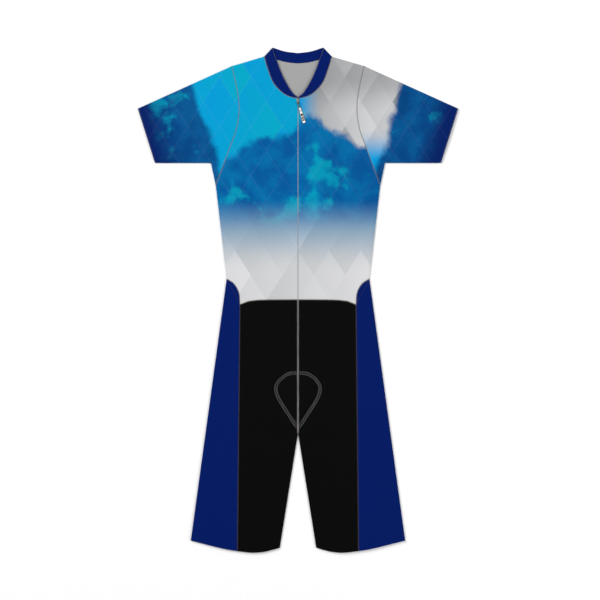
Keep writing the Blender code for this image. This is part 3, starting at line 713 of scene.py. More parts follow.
def paint(red: float, green: float, blue: float) -> tuple[float, float, float, float]:
    """Base colour of a display colour, each part from 0 to 255."""
    return (linear(red), linear(green), linear(blue), 1.0)


def shade(level: float) -> tuple[float, float, float, float]:
    """Neutral colour that darkens or lightens what it is laid over."""
    return (level, level, level, 1.0)


# ---- finishes
@dataclass(frozen=True)
class Finish:
    """Finish of one kind of surface, with the sockets that are the same all over it."""

    name: str
    colour: Colour = (0, 0, 0)
    roughness: float = 0.6
    metallic: float = 0.0
    sheen: float = 0.0
    specular: float = 0.3
    bump: float = 0.5
    relief: float = 0.1
    sheen_roughness: float = 0.4
    grain_scale: float = 900.0
    # painted shade in the hollows of the fine relief, and painted highlight on its crests
    hollow_shade_level: float = 0.72
    crest_highlight_level: float = 1.06

    def colouring(self, nodes: Nodes) -> Value | tuple:
        """Colour before painted shade darkens the hollows of the surface's relief and a painted highlight
        lightens its crests.
        """
        return paint(*self.colour)

    def surface(self, nodes: Nodes) -> Value:
        """Height of the fine relief, from 0 to 1."""
        sockets = {"Vector": nodes.place(), "Scale": self.grain_scale, "Detail": 3.0}
        return nodes.node("ShaderNodeTexNoise", sockets)

    def paint_relief_shade(self, nodes: Nodes, colour: Value | tuple, relief: Value) -> Value:
        """Colour with painted shade in the hollows of the relief and a painted highlight on its crests."""
        tone = nodes.mixed(relief, shade(self.hollow_shade_level), shade(self.crest_highlight_level))
        return nodes.mixed(1.0, colour, tone, "MULTIPLY")

    def material(self) -> Material:
        """Make the material.

        Returns:
            The material, with its whole node tree.
        """
        material = bpy.data.materials.new(self.name)
        material.use_nodes = True
        nodes = Nodes(material.node_tree)
        shader = material.node_tree.nodes["Principled BSDF"]
        uniform = {"Roughness": self.roughness, "Metallic": self.metallic, "Sheen Weight": self.sheen,
                   "Sheen Roughness": self.sheen_roughness, "Specular IOR Level": self.specular}
        for socket, value in uniform.items():
            shader.inputs[socket].default_value = value
        relief = self.surface(nodes)
        # painted shade in the relief's hollows and painted highlight on its crests
        colour = self.paint_relief_shade(nodes, self.colouring(nodes), relief)
        nodes.tree.links.new(colour.socket, shader.inputs["Base Color"])
        sockets = {"Height": relief, "Strength": self.bump, "Distance": self.relief * MM}
        normal = nodes.node("ShaderNodeBump", sockets, "Normal")
        nodes.tree.links.new(normal.socket, shader.inputs["Normal"])
        return material


@dataclass(frozen=True)
class Knit(Finish):
    """Fine stretch knit: columns of small V-shaped loops that follow the cut."""

    wale: float = 0.6
    course: float = 0.5
    sheen: float = 0.04
    specular: float = 0.03
    relief: float = 0.12

    def surface(self, nodes: Nodes) -> Value:
        """Height of the loops, on the piece's own cut."""
        place = nodes.node("ShaderNodeUVMap", uv_map="cut")
        across, up = nodes.across_and_up(place)
        column = (across / (self.wale * MM)).math("FRACT")
        lean = (column * 2.0 - 1.0).math("ABSOLUTE")
        row = (up / (self.course * MM) + lean * 0.5) * math.tau
        legs = (column * math.tau * 2.0).math("COSINE") * -0.5 + 0.5
        return legs * (row.math("SINE") * 0.3 + 0.7)


@dataclass(frozen=True)
class PrintedKnit(Knit):
    """Knit with the suit's print: a plain diamond lattice over bands of cyan, blue and grey."""

    diamond: Plan = (0.066, 0.104)
    azure: Colour = (0, 152, 214)
    teal: Colour = (0, 160, 186)
    pale: Colour = (214, 214, 216)
    stone: Colour = (150, 153, 156)
    deep: Colour = (0, 84, 150)
    mid: Colour = (0, 108, 166)
    mist: Colour = (116, 152, 180)
    waist: Colour = (198, 199, 200)
    dusk_grey: Colour = (150, 152, 154)
    dusk_depth: float = 0.55
    first_fade: Plan = (742.0, 668.0)
    second_fade: Plan = (706.0, 590.0)
    dusk: Plan = (915.0, 1000.0)
    chest_top: Plan = (12.0, -12.0)
    crown: float = 905.0
    crown_slope: float = 450.0

    def cloud(self, nodes: Nodes, scale: float, seed: float) -> Value:
        """Soft cloudy noise from 0 to 1, in blobs of about 1 / scale metres."""
        sockets = {"Vector": nodes.place(), "W": seed, "Scale": scale, "Detail": 6.0, "Roughness": 0.6}
        return nodes.node("ShaderNodeTexNoise", sockets, noise_dimensions="4D")

    def lattice(self, nodes: Nodes, x: Value, y: Value) -> tuple[Value, Value]:
        """Diamond lattice.

        Args:
            nodes: the material's tree.
            x: distance across, in metres.
            y: distance up, in metres.
        Returns:
            A tone from 0 to 1 that differs from diamond to diamond, and a mask of their edges.
        """
        wide, tall = self.diamond
        first, second = x / wide + y / tall, x / wide - y / tall
        cell = nodes.node("ShaderNodeCombineXYZ", {0: first.math("FLOOR"), 1: second.math("FLOOR")})
        tone = nodes.node("ShaderNodeTexWhiteNoise", {"Vector": cell})
        edges = [0.5 - (value.math("FRACT") - 0.5).math("ABSOLUTE") for value in (first, second)]
        edge = edges[0].math("MINIMUM", edges[1]).smooth(0.014, 0.004)
        facet = (first.math("FRACT") + second.math("FRACT")) * 0.16
        return tone * 0.7 + facet, edge

    def upper(self, nodes: Nodes, x: Value, station: Value, tone: Value) -> Value:
        """Colour over the shoulders: cyan on the wearer's right, running to grey on the left."""
        cyan = nodes.mixed(tone, paint(*self.azure), paint(*self.teal))
        grey = nodes.mixed(tone, paint(*self.stone), paint(*self.pale))
        deepened = station.smooth(*self.dusk) * self.dusk_depth
        dark = nodes.mixed(deepened, shade(1.0), paint(*self.dusk_grey))
        grey = nodes.mixed(1.0, grey, dark, "MULTIPLY")
        return nodes.mixed(x.smooth(0.0, 0.05), cyan, grey)

    def blue(self, nodes: Nodes) -> Value:
        """Colour of the blue band, cloudy as a dyed cloth."""
        base = nodes.mixed(self.cloud(nodes, 16.0, 2.0).smooth(0.38, 0.62), paint(*self.deep),
                           paint(*self.mid))
        light = self.cloud(nodes, 8.0, 5.0).smooth(0.54, 0.62) * 0.75
        return nodes.mixed(light, base, paint(*self.teal))

    def banded(self, nodes: Nodes, x: Value, station: Value, tone: Value) -> Value:
        """Colour before the lattice's edges are drawn: the bands of the body."""
        drift = (self.cloud(nodes, 11.0, 1.0) - 0.5) * 120.0
        top = self.crown - (x - 0.02).math("ABSOLUTE") * self.crown_slope
        chest = (station - top + drift).smooth(*self.chest_top)
        body = nodes.mixed(chest, self.upper(nodes, x, station, tone), self.blue(nodes))
        waist = nodes.mixed(tone, paint(*self.waist), paint(*self.pale))
        body = nodes.mixed(station.smooth(*self.first_fade), body, paint(*self.mist))
        return nodes.mixed(station.smooth(*self.second_fade), body, waist)

    def colouring(self, nodes: Nodes) -> Value:
        """The print."""
        x, y = nodes.across_and_up(nodes.place())
        station = y / MM + Cut.length / 2
        tone, edge = self.lattice(nodes, x, y)
        colour = self.banded(nodes, x, station, tone)
        facets = nodes.mixed(tone, shade(0.93), shade(1.04))
        colour = nodes.mixed(1.0, colour, facets, "MULTIPLY")
        return nodes.mixed(edge * 0.02, colour, (0.8, 0.85, 0.9, 1.0))


@dataclass(frozen=True)
class SleeveKnit(PrintedKnit):
    """The print on the sleeves, which darkens to navy towards the cuffs."""

    navy: Colour = (2, 32, 98)
    deep: Colour = (0, 66, 126)
    mid: Colour = (4, 86, 144)
    outwards: Plan = (0.954, -0.300)
    cuff_reach: float = 41.2
    dark_end: Plan = (117.0, 135.0)

    def banded(self, nodes: Nodes, x: Value, station: Value, tone: Value) -> Value:
        """Colour before the lattice's edges are drawn: the bands of a sleeve."""
        out = x.math("ABSOLUTE") * (self.outwards[0] / MM) + station * self.outwards[1]
        inwards = self.cuff_reach - out
        drift = (self.cloud(nodes, 11.0, 3.0) - 0.5) * 60.0
        upper = self.upper(nodes, x, station, tone)
        low = station.smooth(890.0, 822.0) * x.smooth(-0.01, 0.01)
        upper = nodes.mixed(low, upper, paint(*self.azure))
        dark = nodes.mixed((inwards + drift).smooth(8.0, 66.0), paint(*self.navy), self.blue(nodes))
        return nodes.mixed((inwards + drift).smooth(*self.dark_end), dark, upper)


@dataclass(frozen=True)
class Thread(Finish):
    """Spun sewing thread."""

    roughness: float = 0.7
    sheen: float = 0.15
    specular: float = 0.2
    relief: float = 0.05


@dataclass(frozen=True)
class Woven(Finish):
    """Plain woven tape, on Object coordinates."""

    pitch: float = 0.5
    specular: float = 0.15

    def surface(self, nodes: Nodes) -> Value:
        """Height of the crossing threads."""
        x, y = nodes.across_and_up(nodes.place())
        turn = math.tau / (self.pitch * MM)
        return (x * turn).math("SINE") * (y * turn).math("SINE") * 0.5 + 0.5


@dataclass(frozen=True)
class Brushed(Finish):
    """Dull cast metal with fine scratches along the zip."""

    metallic: float = 1.0
    roughness: float = 0.38
    specular: float = 0.5
    scratches: tuple[float, float, float] = (2600.0, 260.0, 2600.0)

    def surface(self, nodes: Nodes) -> Value:
        """Height of the scratches."""
        drawn = nodes.node("ShaderNodeMapping", {0: nodes.place(), 3: self.scratches})
        return nodes.node("ShaderNodeTexNoise", {"Vector": drawn, "Scale": 1.0, "Detail": 2.0})


class Palette:
    """The suit's materials, made once."""

    def __init__(self) -> None:
        """Make the materials."""
        self.print = PrintedKnit("printed_knit").material()
        self.sleeve_print = SleeveKnit("printed_sleeve_knit").material()
        self.inside = Knit("inside_knit", (160, 160, 160), roughness=0.75).material()
        self.navy = Knit("navy_knit", (0, 25, 96)).material()
        self.black = Knit("black_knit", (6, 6, 7), roughness=0.65, sheen=0.01).material()
        self.foam = Knit("pad_cloth", (46, 46, 50), wale=1.2, course=1.0, relief=0.3).material()
        self.warm_thread = Thread("warm_grey_thread", (146, 138, 130)).material()
        self.dark_thread = Thread("dark_grey_thread", (86, 76, 74)).material()
        self.navy_thread = Thread("navy_thread", (64, 64, 106)).material()
        self.pale_thread = Thread("pale_grey_thread", (198, 193, 192)).material()
        self.light_thread = Thread("light_grey_thread", (196, 196, 198)).material()
        self.tape = Woven("zip_tape", (166, 170, 174)).material()
        self.coil = Finish("zip_coil", (176, 180, 183), roughness=0.4, specular=0.2).material()
        self.metal = Brushed("slider_metal", (148, 137, 131)).material()
        self.dark_metal = Brushed("loop_metal", (72, 70, 70), roughness=0.45).material()
        self.rubber = Finish("tab_rubber", (196, 190, 188), roughness=0.5, specular=0.2).material()
        self.band = Finish("tab_band", (240, 238, 236), roughness=0.5, specular=0.2).material()
        self.edge = Finish("tab_edge", (66, 64, 64), roughness=0.6, specular=0.2).material()
        self.grip = Finish("tab_grip", (30, 32, 34), roughness=0.6, specular=0.2).material()


# ---- pieces
def finish_piece(item: Piece, body: str, slot: str, *nodes: str) -> Piece:
    """Attach a piece to the empty of its body, hide the CAD nodes that it stands for and log its
    triangles.

    Args:
        item: the finished object.
        body: the body that it moves with.
        slot: the record's material slot for its finish; not used.
        nodes: CAD nodes that it stands for.
    Returns:
        The same object.
    """
    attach(item, body)
    if nodes:
        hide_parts(*nodes)
    faces = sum(len(face.vertices) - 2 for face in item.data.polygons)
    LOG.info("%s: %d triangles on %s", item.name, faces, body)
    return item


def shaped(item: Piece) -> bpy.types.Mesh:
    """New mesh of an object with its modifiers applied."""
    graph = bpy.context.evaluated_depsgraph_get()
    return bpy.data.meshes.new_from_object(item.evaluated_get(graph), depsgraph=graph)


def plain_mesh(item: Piece) -> Piece:
    """Apply an object's modifiers and keep hard edges only where faces meet at a real edge."""
    mesh = shaped(item)
    item.modifiers.clear()
    item.data = mesh
    mesh.name = item.name
    mesh.polygons.foreach_set("use_smooth", [True] * len(mesh.polygons))
    mesh.set_sharp_from_angle(angle=math.radians(38.0))
    return item


def soften(item: Piece, width: float, segments: int, angle: float) -> None:
    """Round the edges that turn by more than an angle in degrees, by a width in millimetres."""
    bevel = item.modifiers.new("soft_edges", "BEVEL")
    bevel.width = width * MM
    bevel.segments = segments
    bevel.limit_method = "ANGLE"
    bevel.angle_limit = math.radians(angle)


def mesh_of(name: str, shape: bmesh.types.BMesh) -> bpy.types.Mesh:
    """Mesh of a shape, which is then freed."""
    mesh = bpy.data.meshes.new(name)
    shape.to_mesh(mesh)
    shape.free()
    return mesh


def skin(rings: list[Array], cut: Cut) -> bmesh.types.BMesh:
    """Closed surface over a run of rings.

    Args:
        rings: across, station and height of the points round each, in millimetres.
        cut: the cut that they are measured on.
    Returns:
        The surface in metres, with a face over each end.
    """
    shape = bmesh.new()
    loops = []
    for ring in rings:
        places = cut.place(ring[:, :2], ring[:, 2], Side.LEFT)
        loops.append([shape.verts.new(place) for place in places])
    count = len(loops[0])
    for first, second in zip(loops, loops[1:]):
        for j in range(count):
            after = (j + 1) % count
            shape.faces.new((first[j], first[after], second[after], second[j]))
    shape.faces.new(loops[0][::-1])
    shape.faces.new(loops[-1])
    bmesh.ops.recalc_face_normals(shape, faces=shape.faces)
    return shape


def new_object(name: str, data: bpy.types.ID | None, *materials: Material) -> Piece:
    """Object in the scene, with its materials."""
    for material in materials:
        data.materials.append(material)
    item = bpy.data.objects.new(name, data)
    bpy.context.scene.collection.objects.link(item)
    return item


def merged(name: str, items: list[Piece]) -> Piece:
    """One plain object out of several, each with its modifiers applied."""
    joined = bmesh.new()
    materials = []
    for item in items:
        mesh = shaped(item)
        mesh.transform(item.matrix_world)
        material = item.data.materials[0]
        if material not in materials:
            materials.append(material)
        for face in mesh.polygons:
            face.material_index = materials.index(material)
        joined.from_mesh(mesh)
        bpy.data.meshes.remove(mesh)
    mesh = mesh_of(name, joined)
    for item in items:
        bpy.data.objects.remove(item, do_unlink=True)
    return plain_mesh(new_object(name, mesh, *materials))


@dataclass(frozen=True)
class Dressing:
    """What a cut piece is made of and what it lies on."""

    slot: str
    outer: Material
    inner: Material
    rests_on: tuple[str, ...]


@dataclass(frozen=True)
class Cloth:
    """One cut piece of cloth, from the grid of points of its outer face.

    It is not a measure: the hip inserts are 9.99 mm wide.
    """

    node: str
    grid: Array
    cut_map: Array
    faces_up: bool
    dressing: Dressing
    wall: float = Cut.wall
    least_flat: float = 10.5
    edge_radius: float = 0.3

    @property
    def name(self) -> str:
        """Name of the piece that shows."""
        return "cloth_" + self.node

    def area(self) -> float:
        """Area of the outer face, in square metres."""
        first = np.cross(self.grid[1:, 1:] - self.grid[:-1, :-1], self.grid[1:, :-1] - self.grid[:-1, 1:])
        return float(np.linalg.norm(first, axis=-1).sum() / 2)

    def mesh(self) -> bpy.types.Mesh:
        """Surface through the grid, with its place on the cut as a UV map."""
        rows, columns = self.grid.shape[:2]
        index = np.arange(rows * columns).reshape(rows, columns)
        quads = np.stack([index[:-1, :-1], index[:-1, 1:], index[1:, 1:], index[1:, :-1]], axis=-1)
        quads = quads.reshape(-1, 4)
        points = self.grid.reshape(-1, 3)
        corner = points[quads[0]]
        upwards = np.cross(corner[2] - corner[0], corner[3] - corner[1])[2] > 0
        if upwards != self.faces_up:
            quads = quads[:, ::-1]
        mesh = bpy.data.meshes.new(self.name)
        mesh.from_pydata(points.tolist(), [], quads.tolist())
        flat = self.cut_map.reshape(-1, 2)[quads.reshape(-1)]
        mesh.uv_layers.new(name="cut").data.foreach_set("uv", flat.reshape(-1))
        return mesh

    def build(self) -> Piece:
        """Make the piece.

        Returns:
            The finished object.
        """
        item = new_object(self.name, self.mesh(), self.dressing.outer, self.dressing.inner)
        wall = item.modifiers.new("wall", "SOLIDIFY")
        wall.thickness = self.wall * MM
        wall.offset = -1.0
        wall.use_even_offset = True
        wall.material_offset = 1
        soften(item, self.edge_radius, segments=2, angle=60.0)
        plain_mesh(item)
        size = self.cut_map.reshape(-1, 2).max(axis=0) - self.cut_map.reshape(-1, 2).min(axis=0)
        size = np.maximum(size, self.least_flat * MM)
        finish_piece(item, GARMENT, self.dressing.slot, self.node)
        self.area()
        return item


@dataclass(frozen=True)
class Pattern:
    """Base of the classes that cut the suit's pieces out of its plan."""

    lie: Lie
    palette: Palette

    @property
    def cut(self) -> Cut:
        """The suit's cut."""
        return self.lie.cut

    def printed(self, outer: Material, *rests_on: str) -> Dressing:
        """Printed knit with a plain grey inside."""
        return Dressing("printed_knit", outer, self.palette.inside, rests_on)

    def navy(self, *rests_on: str) -> Dressing:
        """Navy knit, the same on both faces."""
        return Dressing("navy_knit", self.palette.navy, self.palette.navy, rests_on)

    def black(self, *rests_on: str) -> Dressing:
        """Black knit, the same on both faces."""
        return Dressing("black_knit", self.palette.black, self.palette.black, rests_on)

    def flat_map(self, grid: Array, side: Side, grain: Plan = (0.0, 1.0)) -> Array:
        """Places on the cut of a piece that lies flat, in metres, with its grain upwards."""
        across = grid @ np.array([grain[1], -grain[0]]) * side.value
        return np.stack([across, grid @ np.array(grain)], axis=-1) * MM

    def upper(self, node: str, grid: Array, side: Side, dressing: Dressing,
              grain: Plan = (0.0, 1.0)) -> Piece:
        """Piece of the upper layer."""
        points = self.cut.place(grid, self.lie.height(grid, side), side)
        return Cloth(node, points, self.flat_map(grid, side, grain), True, dressing).build()

    def lower(self, node: str, grid: Array, side: Side, dressing: Dressing) -> Piece:
        """Piece of the lower layer, flat on the surface but for its seams and creases."""
        points = self.cut.place(grid, self.lie.underside(grid, side), side)
        return Cloth(node, points, self.flat_map(grid, side), False, dressing).build()

    def wrapped(self, node: str, grid: Array, side: Side, dressing: Dressing, turns: int = 12) -> Piece:
        """Piece that turns round a folded edge, which is the grid's first column.

        Args:
            node: the CAD node that it stands for.
            grid: plan of the upper half, whose second column is where the turn begins.
            side: the half of the suit that it is on.
            dressing: what it is made of.
            turns: facets round the fold.
        Returns:
            The finished object.
        """
        edge, start = grid[:, :1], grid[:, 1:2]
        top = self.lie.height(start, side)
        run = (start - edge) / np.linalg.norm(start - edge, axis=-1, keepdims=True)
        fold = (grid[-1, 0] - grid[0, 0]) / np.linalg.norm(grid[-1, 0] - grid[0, 0])
        lean = self.fold_lean(grid, fold)
        angle = (np.arange(1, turns) * math.pi / turns)[None, :]
        radius = top / 2
        reach = radius * (1.0 - np.sin(angle)) * lean
        turn = self.cut.place(edge + run * reach[..., None], radius * (1.0 + np.cos(angle)), side)
        upper = self.cut.place(grid[:, 1:], self.lie.height(grid[:, 1:], side), side)[:, ::-1]
        lower = self.cut.place(grid[:, 1:], self.lie.underside(grid[:, 1:], side), side)
        points = np.concatenate([upper, turn, lower], axis=1)
        steps = np.linalg.norm(np.diff(points, axis=1), axis=-1)
        across = np.concatenate([np.zeros((len(points), 1)), np.cumsum(steps, axis=1)], axis=1)
        across -= across[:, upper.shape[1] + turns // 2 - 1][:, None]
        up = (grid - grid[0, 0]) @ fold * MM
        up = np.concatenate([up[:, :0:-1], np.repeat(up[:, :1], turns - 1, axis=1), up[:, 1:]], axis=1)
        return Cloth(node, points, np.stack([across, up], axis=-1), True, dressing).build()

    def fold_lean(self, grid: Array, fold: Array) -> Array:
        """How much longer a row's way over the fold is than the way square to it."""
        row = grid[:, 1] - grid[:, 0]
        square = np.abs(row[:, 0] * fold[1] - row[:, 1] * fold[0])
        return (np.linalg.norm(row, axis=-1) / np.maximum(square, 1e-6))[:, None]


class Torso(Pattern):
    """Fronts and back of the body, down to the waist.

    The lengths set how many steps a seam has and where its close ones fall, in millimetres.
    """

    flank_length: float = 200.0
    front_width: float = 150.0
    hip_length: float = 61.0
    hip_steps: int = 10
    flank_steps: int = 40
    shoulder_length: float = 71.0
    shoulder_steps: int = 12
    neck_steps: int = 14
    neck_close: Steps = (0.0, 1.8)

    def outer_edge(self) -> tuple[Array, int, int, int]:
        """Outer edge of a front, from the waist to the shoulder.

        Returns:
            Its points, and the number of steps over the hip, up the side and up the part of
            the armhole that lies below the neckline.
        """
        cut = self.cut
        hip_length, armhole_length = route_length(cut.hip), route_length(cut.armhole)
        hip = along(cut.hip, 1.0 - graded(hip_length, cut.parts(hip_length), cut.close_steps))
        side = line(cut.hip_point, cut.underarm_end, even(cut.parts(self.flank_length)))
        low_length = armhole_length * cut.low_armhole
        low = along(cut.armhole, 1.0 - even(cut.parts(low_length)) * cut.low_armhole)
        high_length = armhole_length - low_length
        high_shares = (1.0 - cut.low_armhole) * (
            1.0 - graded(high_length, cut.parts(high_length), last=cut.close_steps))
        high = along(cut.armhole, high_shares)
        edge = np.vstack([hip, side[1:], low[1:], high[1:]])
        return edge, len(hip) - 1, len(side) - 1, len(low) - 1

    def front(self, side: Side) -> Piece:
        """Front of the torso, from the zip to the side seam and armhole."""
        cut = self.cut
        outer, hip, flank, low = self.outer_edge()
        rise = hip + flank + low
        half_zip = cut.zip_parting / 2
        scale = (cut.neck_drop - cut.waist_centre) / (outer[rise, 1] - outer[0, 1])
        stations = cut.waist_centre + (outer[:rise + 1, 1] - outer[0, 1]) * scale
        zip_edge = np.stack([np.full(rise + 1, half_zip), stations], axis=-1)
        neck = len(outer) - rise - 1
        neck_length = route_length(cut.neckline)
        neck_parts = neck - len(cut.close_steps) + 1
        neck_shares = 1.0 - graded(neck_length, neck_parts, last=cut.close_steps)
        inner = np.vstack([zip_edge, along(cut.neckline, neck_shares)[1:]])
        lengths = np.linalg.norm(outer - inner, axis=-1)
        columns = graded(lengths, cut.parts(self.front_width), cut.close_steps, cut.close_steps)
        first = line((half_zip, 0.0), (cut.waist_corner[0], 0.0), columns[0])
        first[:, 1] = station_at(cut.waist, first[:, 0])
        grid = loft(inner, outer, columns, first_row=first)
        gap = cut.seam / 2
        inner_gaps = [0.0] * rise + [gap] * neck
        outer_gaps = [gap] * hip + [0.0] * flank + [gap] * (low + neck)
        grid = part_seams(grid, first=gap, inner=inner_gaps, outer=outer_gaps)
        dressing = self.printed(self.palette.print, "cloth_back_panel")
        return self.upper("front_" + side.word, grid, side, dressing)

    def back(self) -> Piece:
        """Back of the torso in one piece."""
        cut = self.cut
        side, armhole_length = [], route_length(cut.armhole)
        hip = graded(self.hip_length, self.hip_steps, cut.close_steps)
        side.append(line(cut.waist_corner, cut.hip_point, hip))
        side.append(line(cut.hip_point, cut.underarm_end, even(self.flank_steps))[1:])
        armhole = graded(armhole_length, cut.parts(armhole_length), last=cut.close_steps)
        side.append(along(cut.armhole, 1.0 - armhole)[1:])
        left = np.vstack(side)
        right = left * MIRROR
        shoulder_run = graded(self.shoulder_length, self.shoulder_steps, cut.close_steps)
        shoulder = line(cut.shoulder_point, cut.neck_point, shoulder_run)
        neck_run = graded(cut.back_neck_length, self.neck_steps, self.neck_close)
        neck = along(cut.back_neckline, neck_run)
        top = both_halves(np.vstack([shoulder, neck[1:]]))
        shares = run_along(top) / route_length(top)
        first = along(both_halves(cut.waist[::-1]), shares)
        grid = loft(left, right, shares, first_row=first, last_row=top)
        gap = cut.seam / 2
        rows = len(left) - 1
        hips, flank = len(side[0]) - 1, self.flank_steps
        edge = [gap] * hips + [0.0] * flank + [gap] * (rows - hips - flank)
        neck_steps = len(neck) - 1
        shoulder_steps = len(shoulder) - 1
        last = [0.0] * shoulder_steps + [gap] * (2 * neck_steps) + [0.0] * shoulder_steps
        grid = part_seams(grid, first=gap, last=np.array(last), inner=edge, outer=edge)
        dressing = self.printed(self.palette.print, FLOOR)
        return self.lower("back_panel", grid, Side.LEFT, dressing)

    def build(self) -> list[Piece]:
        """Make the back and both fronts."""
        return [self.back()] + [self.front(side) for side in Side]


class Sleeves(Pattern):
    """Sleeves, folded along the top and sewn under the arm.

    past_armpit is about the length of the fold between the armpit's row and the shoulder.
    """

    past_armpit: float = 62.0
    width: float = 170.0

    def sleeve(self, side: Side) -> Piece:
        """One sleeve, from the cuff to the armhole."""
        cut = self.cut
        under = math.dist(cut.cuff_bottom, cut.armpit)
        low = graded(under, cut.parts(under), first=cut.hem_steps)
        high = graded(self.past_armpit, cut.parts(self.past_armpit), last=cut.close_steps)
        shares = np.concatenate([low * cut.armpit_row,
                                 cut.armpit_row + high[1:] * (1.0 - cut.armpit_row)])
        top = line(cut.cuff_top, cut.shoulder_point, shares)
        bottom = np.vstack([line(cut.cuff_bottom, cut.armpit, low),
                            line(cut.armpit, cut.underarm_end, high[1:])])
        lengths = np.linalg.norm(bottom - top, axis=-1)
        lengths[-1] = route_length(cut.armhole)
        columns = graded(lengths, cut.parts(self.width), cut.fold_steps, cut.close_steps)
        grid = loft(top, bottom, columns, last_row=along(cut.armhole, columns[-1]))
        grid = part_seams(grid, last=cut.seam / 2)
        dressing = self.printed(self.palette.sleeve_print, FLOOR)
        return self.wrapped("sleeve_" + side.word, grid, side, dressing)

    def build(self) -> list[Piece]:
        """Make both sleeves."""
        return [self.sleeve(side) for side in Side]


class Collar(Pattern):
    """Collar band: two front lengths and one at the back."""

    band_steps: int = 8
    back_steps: int = 16
    tip_steps: Steps = (0.0, 1.2)

    def front(self, side: Side) -> Piece:
        """Front length of the band, tapering to the zip."""
        cut = self.cut
        length = route_length(cut.neckline)
        shares = graded(length, cut.parts(length), cut.close_steps, self.tip_steps)
        seam, edge = along(cut.neckline, shares), along(cut.collar_edge, shares)
        grid = loft(edge, seam, even(self.band_steps))
        grid = part_seams(grid, outer=cut.seam / 2)
        dressing = self.navy("cloth_collar_back", "cloth_back_panel")
        return self.upper("collar_front_" + side.word, grid, side, dressing)

    def back(self) -> Piece:
        """Back length of the band, which shows its inside."""
        cut = self.cut
        shares = graded(cut.back_neck_length, self.back_steps)
        edge, seam = (both_halves(along(route, shares)) for route in (cut.back_collar, cut.back_neckline))
        grid = loft(edge, seam, even(self.band_steps))
        grid = part_seams(grid, outer=cut.seam / 2)
        return self.lower("collar_back", grid, Side.LEFT, self.navy(FLOOR))

    def build(self) -> list[Piece]:
        """Make the three lengths."""
        return [self.back()] + [self.front(side) for side in Side]


class Legs(Pattern):
    """Legs: fronts, backs, folded side panels and the crescents over the hips."""

    width: float = 112.0
    panel_width: float = 64.0
    crescent_end: float = 0.02
    crescent_rows: int = 18
    crescent_columns: int = 6

    def leg_grid(self) -> Array:
        """Plan of a leg's front or back, from the waist to the hem."""
        cut = self.cut
        centre_length = cut.waist_centre - cut.crotch[1]
        inseam_length = math.dist(cut.crotch, cut.hem_inner)
        centre = graded(centre_length, cut.parts(centre_length), cut.close_steps)
        inseam = graded(inseam_length, cut.parts(inseam_length), last=cut.hem_steps)
        below = line((0.0, cut.crotch[1]), cut.hem_inner, inseam)
        inner = np.vstack([along(cut.centre_seam, centre), below[1:]])
        shares = (inner[0, 1] - inner[:, 1]) / (inner[0, 1] - inner[-1, 1])
        outer = line(cut.waist_corner, cut.hem_seam, shares)
        lengths = np.linalg.norm(outer - inner, axis=-1)
        columns = graded(lengths, cut.parts(self.width), cut.close_steps, cut.close_steps)
        waist = along(cut.waist, columns[0])
        hem = line(cut.hem_inner, cut.hem_seam, columns[-1])
        hem[:, 1] = station_at(cut.hem, hem[:, 0])
        grid = loft(inner, outer, columns, first_row=waist, last_row=hem)
        gap = cut.seam / 2
        inner_gaps = [gap] * (len(centre) - 1) + [0.0] * (len(inseam) - 1)
        return part_seams(grid, first=gap, inner=inner_gaps, outer=gap)

    def side_panel(self, side: Side) -> Piece:
        """Side of the leg, folded along its outer edge."""
        cut = self.cut
        length = math.dist(cut.hip_point, cut.hem_outer)
        shares = graded(length, cut.parts(length), cut.close_steps, cut.hem_steps)
        fold = line(cut.hip_point, cut.hem_outer, shares)
        seam = line(cut.waist_corner, cut.hem_seam, shares)
        run = (fold[-1] - fold[0]) / length
        across = seam - fold
        reach = np.abs(across[:, 0] * run[1] - across[:, 1] * run[0])
        columns = graded(reach, cut.parts(self.panel_width), cut.fold_steps, cut.close_steps)
        hem = line(cut.hem_outer, cut.hem_seam, columns[-1])
        hem[:, 1] = station_at(cut.hem, hem[:, 0])
        grid = loft(fold, seam, columns, last_row=hem)
        grid = part_seams(grid, first=cut.seam / 2, outer=cut.seam / 2)
        beside = columns * reach[:, None] / cut.close_steps[-1]
        below = shares[:, None] * length / cut.corner_reach
        shift = cut.corner_clearance * np.clip(1.0 - beside, 0.0, 1.0) * np.clip(1.0 - below, 0.0, 1.0)
        grid = grid + run * shift[..., None]
        return self.wrapped("side_panel_" + side.word, grid, side, self.navy(FLOOR))

    def crescent(self, side: Side) -> Piece:
        """Insert between the curved hip seam and the straight top of the side panel."""
        cut = self.cut
        shares = self.crescent_end + (1.0 - 2 * self.crescent_end) * even(self.crescent_rows)
        inner = along(cut.hip, shares)
        outer = line(cut.hip_point, cut.waist_corner, shares)
        grid = loft(inner, outer, even(self.crescent_columns))
        grid = part_seams(grid, inner=cut.seam / 2, outer=cut.seam / 2)
        chord = np.subtract(cut.hip_point, cut.waist_corner)
        grain = tuple(chord / np.linalg.norm(chord))
        dressing = self.navy("cloth_back_panel")
        return self.upper("hip_insert_" + side.word, grid, side, dressing, grain)

    def build(self) -> list[Piece]:
        """Make both legs."""
        grid = self.leg_grid()
        made = []
        for side in Side:
            made.append(self.lower("short_back_" + side.word, grid, side, self.black(FLOOR)))
            over = self.black("cloth_short_back_" + side.word, "seat_pad_shell")
            made.append(self.upper("short_front_" + side.word, grid, side, over))
            made.append(self.side_panel(side))
            made.append(self.crescent(side))
        return made


